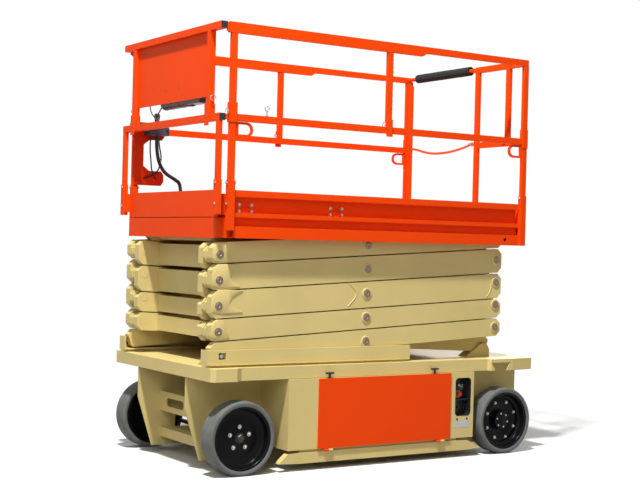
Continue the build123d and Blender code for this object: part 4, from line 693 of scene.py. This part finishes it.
# weld beads where the rail posts meet the undersides of the rails
rail_face_y, under_top_rail, under_mid_rail, post_half = 0.6155, 2.3845, 1.9145, 0.019
rail_weld_runs = [([(x - post_half, side * rail_face_y, z), (x + post_half, side * rail_face_y, z)], False)
                  for side in (1, -1) for x in (front_post, strut)
                  for z in (under_top_rail, under_mid_rail)]
run_of_rod("rail_welds", rail_weld_runs, 0.0018, orange_paint, "platform", order=2)

# moulded end caps in the sliding rails' open ends
cap_black = plain_finish("cap_black", (0.02, 0.02, 0.022), 0.45)
finish_nodes(cap_black, "rail_caps")

# ---------------------------------------------------------------- front panel
# An orange sheet between the front guard's upper posts, bolted on, with a black
# document tube and terminal box under it and two thin wires to the mid rail.

tube_black = plain_finish("tube_black", (0.012, 0.012, 0.013), 0.2)
finish_nodes(tube_black, "document_tube")
panel_bolts_bm = bmesh.new()
panel_face_x = 1.1098
for y, z in ((-0.36, 2.372), (0.0, 2.372), (0.36, 2.372), (-0.085, 2.128), (0.085, 2.128)):
    turned(panel_bolts_bm, [(0.0, 0.0028), (0.003, 0.0025), (0.0045, 0.0), (0.0, 0.0)],
           (panel_face_x, y, z), (1, 0, 0), steps=12)
add_piece("panel_screws", panel_bolts_bm, dark_nut, "extension")
tube_bands_bm = bmesh.new()
tube_centre_x, tube_z = 1.0677, 2.060
for y in (-0.148, -0.060, 0.070, 0.168):
    turned(tube_bands_bm, [(0.0378, -0.005), (0.0388, -0.004), (0.0388, 0.004), (0.0378, 0.005),
                           (0.0370, 0.0), (0.0378, -0.005)],
           (tube_centre_x, y, tube_z), (0, 1, 0), steps=36)
add_piece("tube_bands", tube_bands_bm, cap_black, "extension")
run_of_rod("panel_wires",
           [([(1.100, -0.300, 2.056), (1.104, -0.285, 2.020), (1.102, -0.235, 1.985),
              (1.100, -0.180, 1.952)], False),
            ([(1.092, -0.155, 2.040), (1.098, -0.190, 2.010), (1.098, -0.205, 1.975),
              (1.096, -0.180, 1.952)], False)],
           0.0035, cap_black, "extension")

# ---------------------------------------------------------------- entry side
# A bar with a foam sleeve swings up to open the entry. Below it an orange
# webbing strap hangs between the posts, with a snap hook at its near end.

foam_black, foam_tree, foam_skin, foam_where = new_material("foam_black")
foam_skin.inputs["Base Color"].default_value = (0.016, 0.017, 0.019, 1.0)
foam_skin.inputs["Roughness"].default_value = 0.82
foam_skin.inputs["Specular IOR Level"].default_value = 0.2
foam_skin.inputs["Sheen Weight"].default_value = 0.08
foam_cells = foam_tree.nodes.new("ShaderNodeTexVoronoi")
foam_cells.inputs["Scale"].default_value = 420.0
foam_tree.links.new(foam_where, foam_cells.inputs["Vector"])
bumps(foam_tree, foam_cells.outputs["Distance"], foam_skin, 0.25, 0.001)

bar_x, bar_z, pad_near_y, pad_far_y = -1.0204, 2.424, 0.084, -0.486
pad_length = pad_near_y - pad_far_y
pad_profile = [(0.0225, 0.004), (0.0235, 0.0015), (0.0255, 0.0), (0.0280, 0.0015), (0.0293, 0.0055)]
for share in (0.06, 0.15, 0.28, 0.42, 0.56, 0.70, 0.83, 0.93):
    crown = 0.0295 + 0.0005 * math.sin(math.pi * share) - (0.0006 if share in (0.28, 0.70) else 0.0)
    pad_profile.append((crown, pad_length * share))
pad_profile += [(0.0293, pad_length - 0.0055), (0.0280, pad_length - 0.0015), (0.0255, pad_length),
                (0.0235, pad_length - 0.0015), (0.0225, pad_length - 0.004), (0.0225, 0.004)]
pad_bm = bmesh.new()
turned(pad_bm, pad_profile, (bar_x, pad_far_y, bar_z), (0, 1, 0), steps=48)
pad = add_piece("foam_pad", pad_bm, foam_black, "entry_bar", sharp=60)
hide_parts("entry_pad")

webbing, webbing_tree, webbing_skin, webbing_where = new_material("orange_webbing")
webbing_skin.inputs["Roughness"].default_value = 0.75
webbing_skin.inputs["Base Color"].default_value = (0.80, 0.085, 0.008, 1.0)
webbing_weave = webbing_tree.nodes.new("ShaderNodeTexWave")
webbing_weave.bands_direction = "Y"
webbing_weave.inputs["Scale"].default_value = 160.0
webbing_weave.inputs["Distortion"].default_value = 0.4
webbing_tree.links.new(webbing_where, webbing_weave.inputs["Vector"])
bumps(webbing_tree, webbing_weave.outputs["Fac"], webbing_skin, 0.3, 0.0006)

strap_x, strap_far_y, strap_near_y, mid_rail_top = -1.029, -0.5546, 0.1318, 1.953
strap_route = [(strap_x, strap_far_y + far, mid_rail_top + rise) for far, rise in (
    (0.0, -0.011), (0.042, -0.011), (0.150, -0.039), (0.272, -0.055), (0.444, -0.049), (0.600, -0.022))]
strap_route += [(strap_x, strap_near_y - 0.042, mid_rail_top - 0.008),
                (strap_x, strap_near_y, mid_rail_top - 0.008)]
strap_curve = smooth_line("entry_webbing", [(strap_route, False)], 10)
strap_curve.twist_mode = "Z_UP"
strap_curve.extrude = 0.0064
strap_curve.bevel_depth = 0.0016
strap_curve.bevel_resolution = 2
strap_curve.use_fill_caps = True
strap_curve.materials.append(webbing)
strap = bpy.data.objects.new("entry_webbing", strap_curve)
scene.collection.objects.link(strap)
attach(strap, "platform")
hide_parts("entry_strap")

hook_y, hook_z = 0.105, mid_rail_top - 0.008
swivel_bm = bmesh.new()
turned(swivel_bm, [(0.0, 0.0), (0.0085, 0.0), (0.0100, 0.002), (0.0100, 0.008), (0.0060, 0.011),
                   (0.0060, 0.018), (0.0, 0.018)], (strap_x, 0.066, hook_z), (0, 1, 0), steps=20)
swivel = add_piece("hook_swivel", swivel_bm, bright_zinc, "platform")
hook = run_of_rod("snap_hook", [oval_run((strap_x, hook_y, hook_z), (0, 0.0225, 0), (0, 0, 0.0120))],
                  0.0032, bright_zinc, "platform")

# ---------------------------------------------------------------- platform controls
# A grey joystick box on an orange C-shaped plate that hangs from the right mid
# rail, and its corrugated conduit down to the toe-board.

# the C plate's paint is a darker copy of the platform's orange: painted shade for the shadow the plate
# hangs in
bracket_painted_shade_orange = sprayed_paint("bracket_painted_shade_orange", (0.60, 0.040, 0.003), 0.36, 0.14, unevenness=0.02)
box_grey = plain_finish("box_grey", (0.055, 0.052, 0.068), 0.45)
finish_nodes(bracket_painted_shade_orange, "control_bracket")
finish_nodes(box_grey, "control_box")

box_x, stick_y, box_top = 0.935, -0.5432, 1.972
stick_bm = bmesh.new()
turned(stick_bm, [(0.0112, 0.0), (0.030, 0.0), (0.0295, 0.003), (0.026, 0.006), (0.024, 0.010),
                  (0.020, 0.013), (0.0185, 0.017), (0.0150, 0.020), (0.0125, 0.024), (0.0112, 0.026),
                  (0.0112, 0.0)],
       (box_x, stick_y, box_top - 0.0003), (0, 0, 1), steps=32)
turned(stick_bm, [(0.0, 0.0905), (0.010, 0.0895), (0.0160, 0.0850), (0.0185, 0.0770),
                  (0.0175, 0.0640), (0.0150, 0.0500), (0.0145, 0.0380), (0.0125, 0.0340), (0.0, 0.0340)],
       (box_x, stick_y, box_top - 0.0200), (0, 0, 1), steps=32)
add_piece("joystick_grip", stick_bm, cap_black, "platform")
buttons_bm = bmesh.new()
for x in (0.885, 0.990):
    turned(buttons_bm, [(0.0, 0.008), (0.007, 0.0075), (0.009, 0.005), (0.009, 0.0), (0.0, 0.0)],
           (x, -0.5010, 1.938), (0, 1, 0), steps=20)
add_piece("box_buttons", buttons_bm, cap_black, "platform")
run_of_rod("bracket_wiring",
           [([(0.905, -0.578, 1.905), (0.900, -0.580, 1.85), (0.880, -0.580, 1.78), (0.895, -0.580, 1.70),
              (0.945, -0.580, 1.655), (1.000, -0.580, 1.648)], False),
            ([(0.960, -0.572, 1.905), (0.965, -0.576, 1.84), (0.952, -0.578, 1.74), (0.945, -0.580, 1.68),
              (0.915, -0.581, 1.640)], False)],
           0.0045, cap_black, "platform")

cable_route = [(0.935, -0.5432, 1.9048), (0.935, -0.5432, 1.790), (0.885, -0.5482, 1.685),
               (0.800, -0.5482, 1.643), (0.745, -0.577, 1.618), (0.745, -0.577, 1.5462)]
route_curve = smooth_line("conduit_route", [(cable_route, False)], 40)
route_object = bpy.data.objects.new("conduit_route", route_curve)
route_mesh = bpy.data.meshes.new_from_object(route_object)
path = [vert.co.copy() for vert in route_mesh.vertices]
bpy.data.meshes.remove(route_mesh)
bpy.data.objects.remove(route_object)
bpy.data.curves.remove(route_curve)

conduit_bm = bmesh.new()
middle_radius, rib_height, rib_pitch = 0.0112, 0.0008, 0.0052
last_ring, travelled = None, 0.0
for step, place in enumerate(path):
    ahead = path[min(step + 1, len(path) - 1)] - path[max(step - 1, 0)]
    stand = Vector((0.0, 0.0, -1.0)).rotation_difference(ahead.normalized()).to_matrix().to_4x4()
    if step:
        travelled += (place - path[step - 1]).length
    radius = middle_radius + rib_height * math.sin(math.tau * travelled / rib_pitch)
    made = bmesh.ops.create_circle(conduit_bm, cap_ends=step in (0, len(path) - 1), segments=14,
                                   radius=radius, matrix=Matrix.Translation(place) @ stand)
    ring = list({edge for vert in made["verts"] for edge in vert.link_edges
                 if all(end in made["verts"] for end in edge.verts)})
    if last_ring:
        bmesh.ops.bridge_loops(conduit_bm, edges=last_ring + ring)
    last_ring = ring
bmesh.ops.recalc_face_normals(conduit_bm, faces=conduit_bm.faces[:])
conduit = add_piece("control_conduit", conduit_bm, cap_black, "platform", sharp=60)
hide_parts("control_cable")
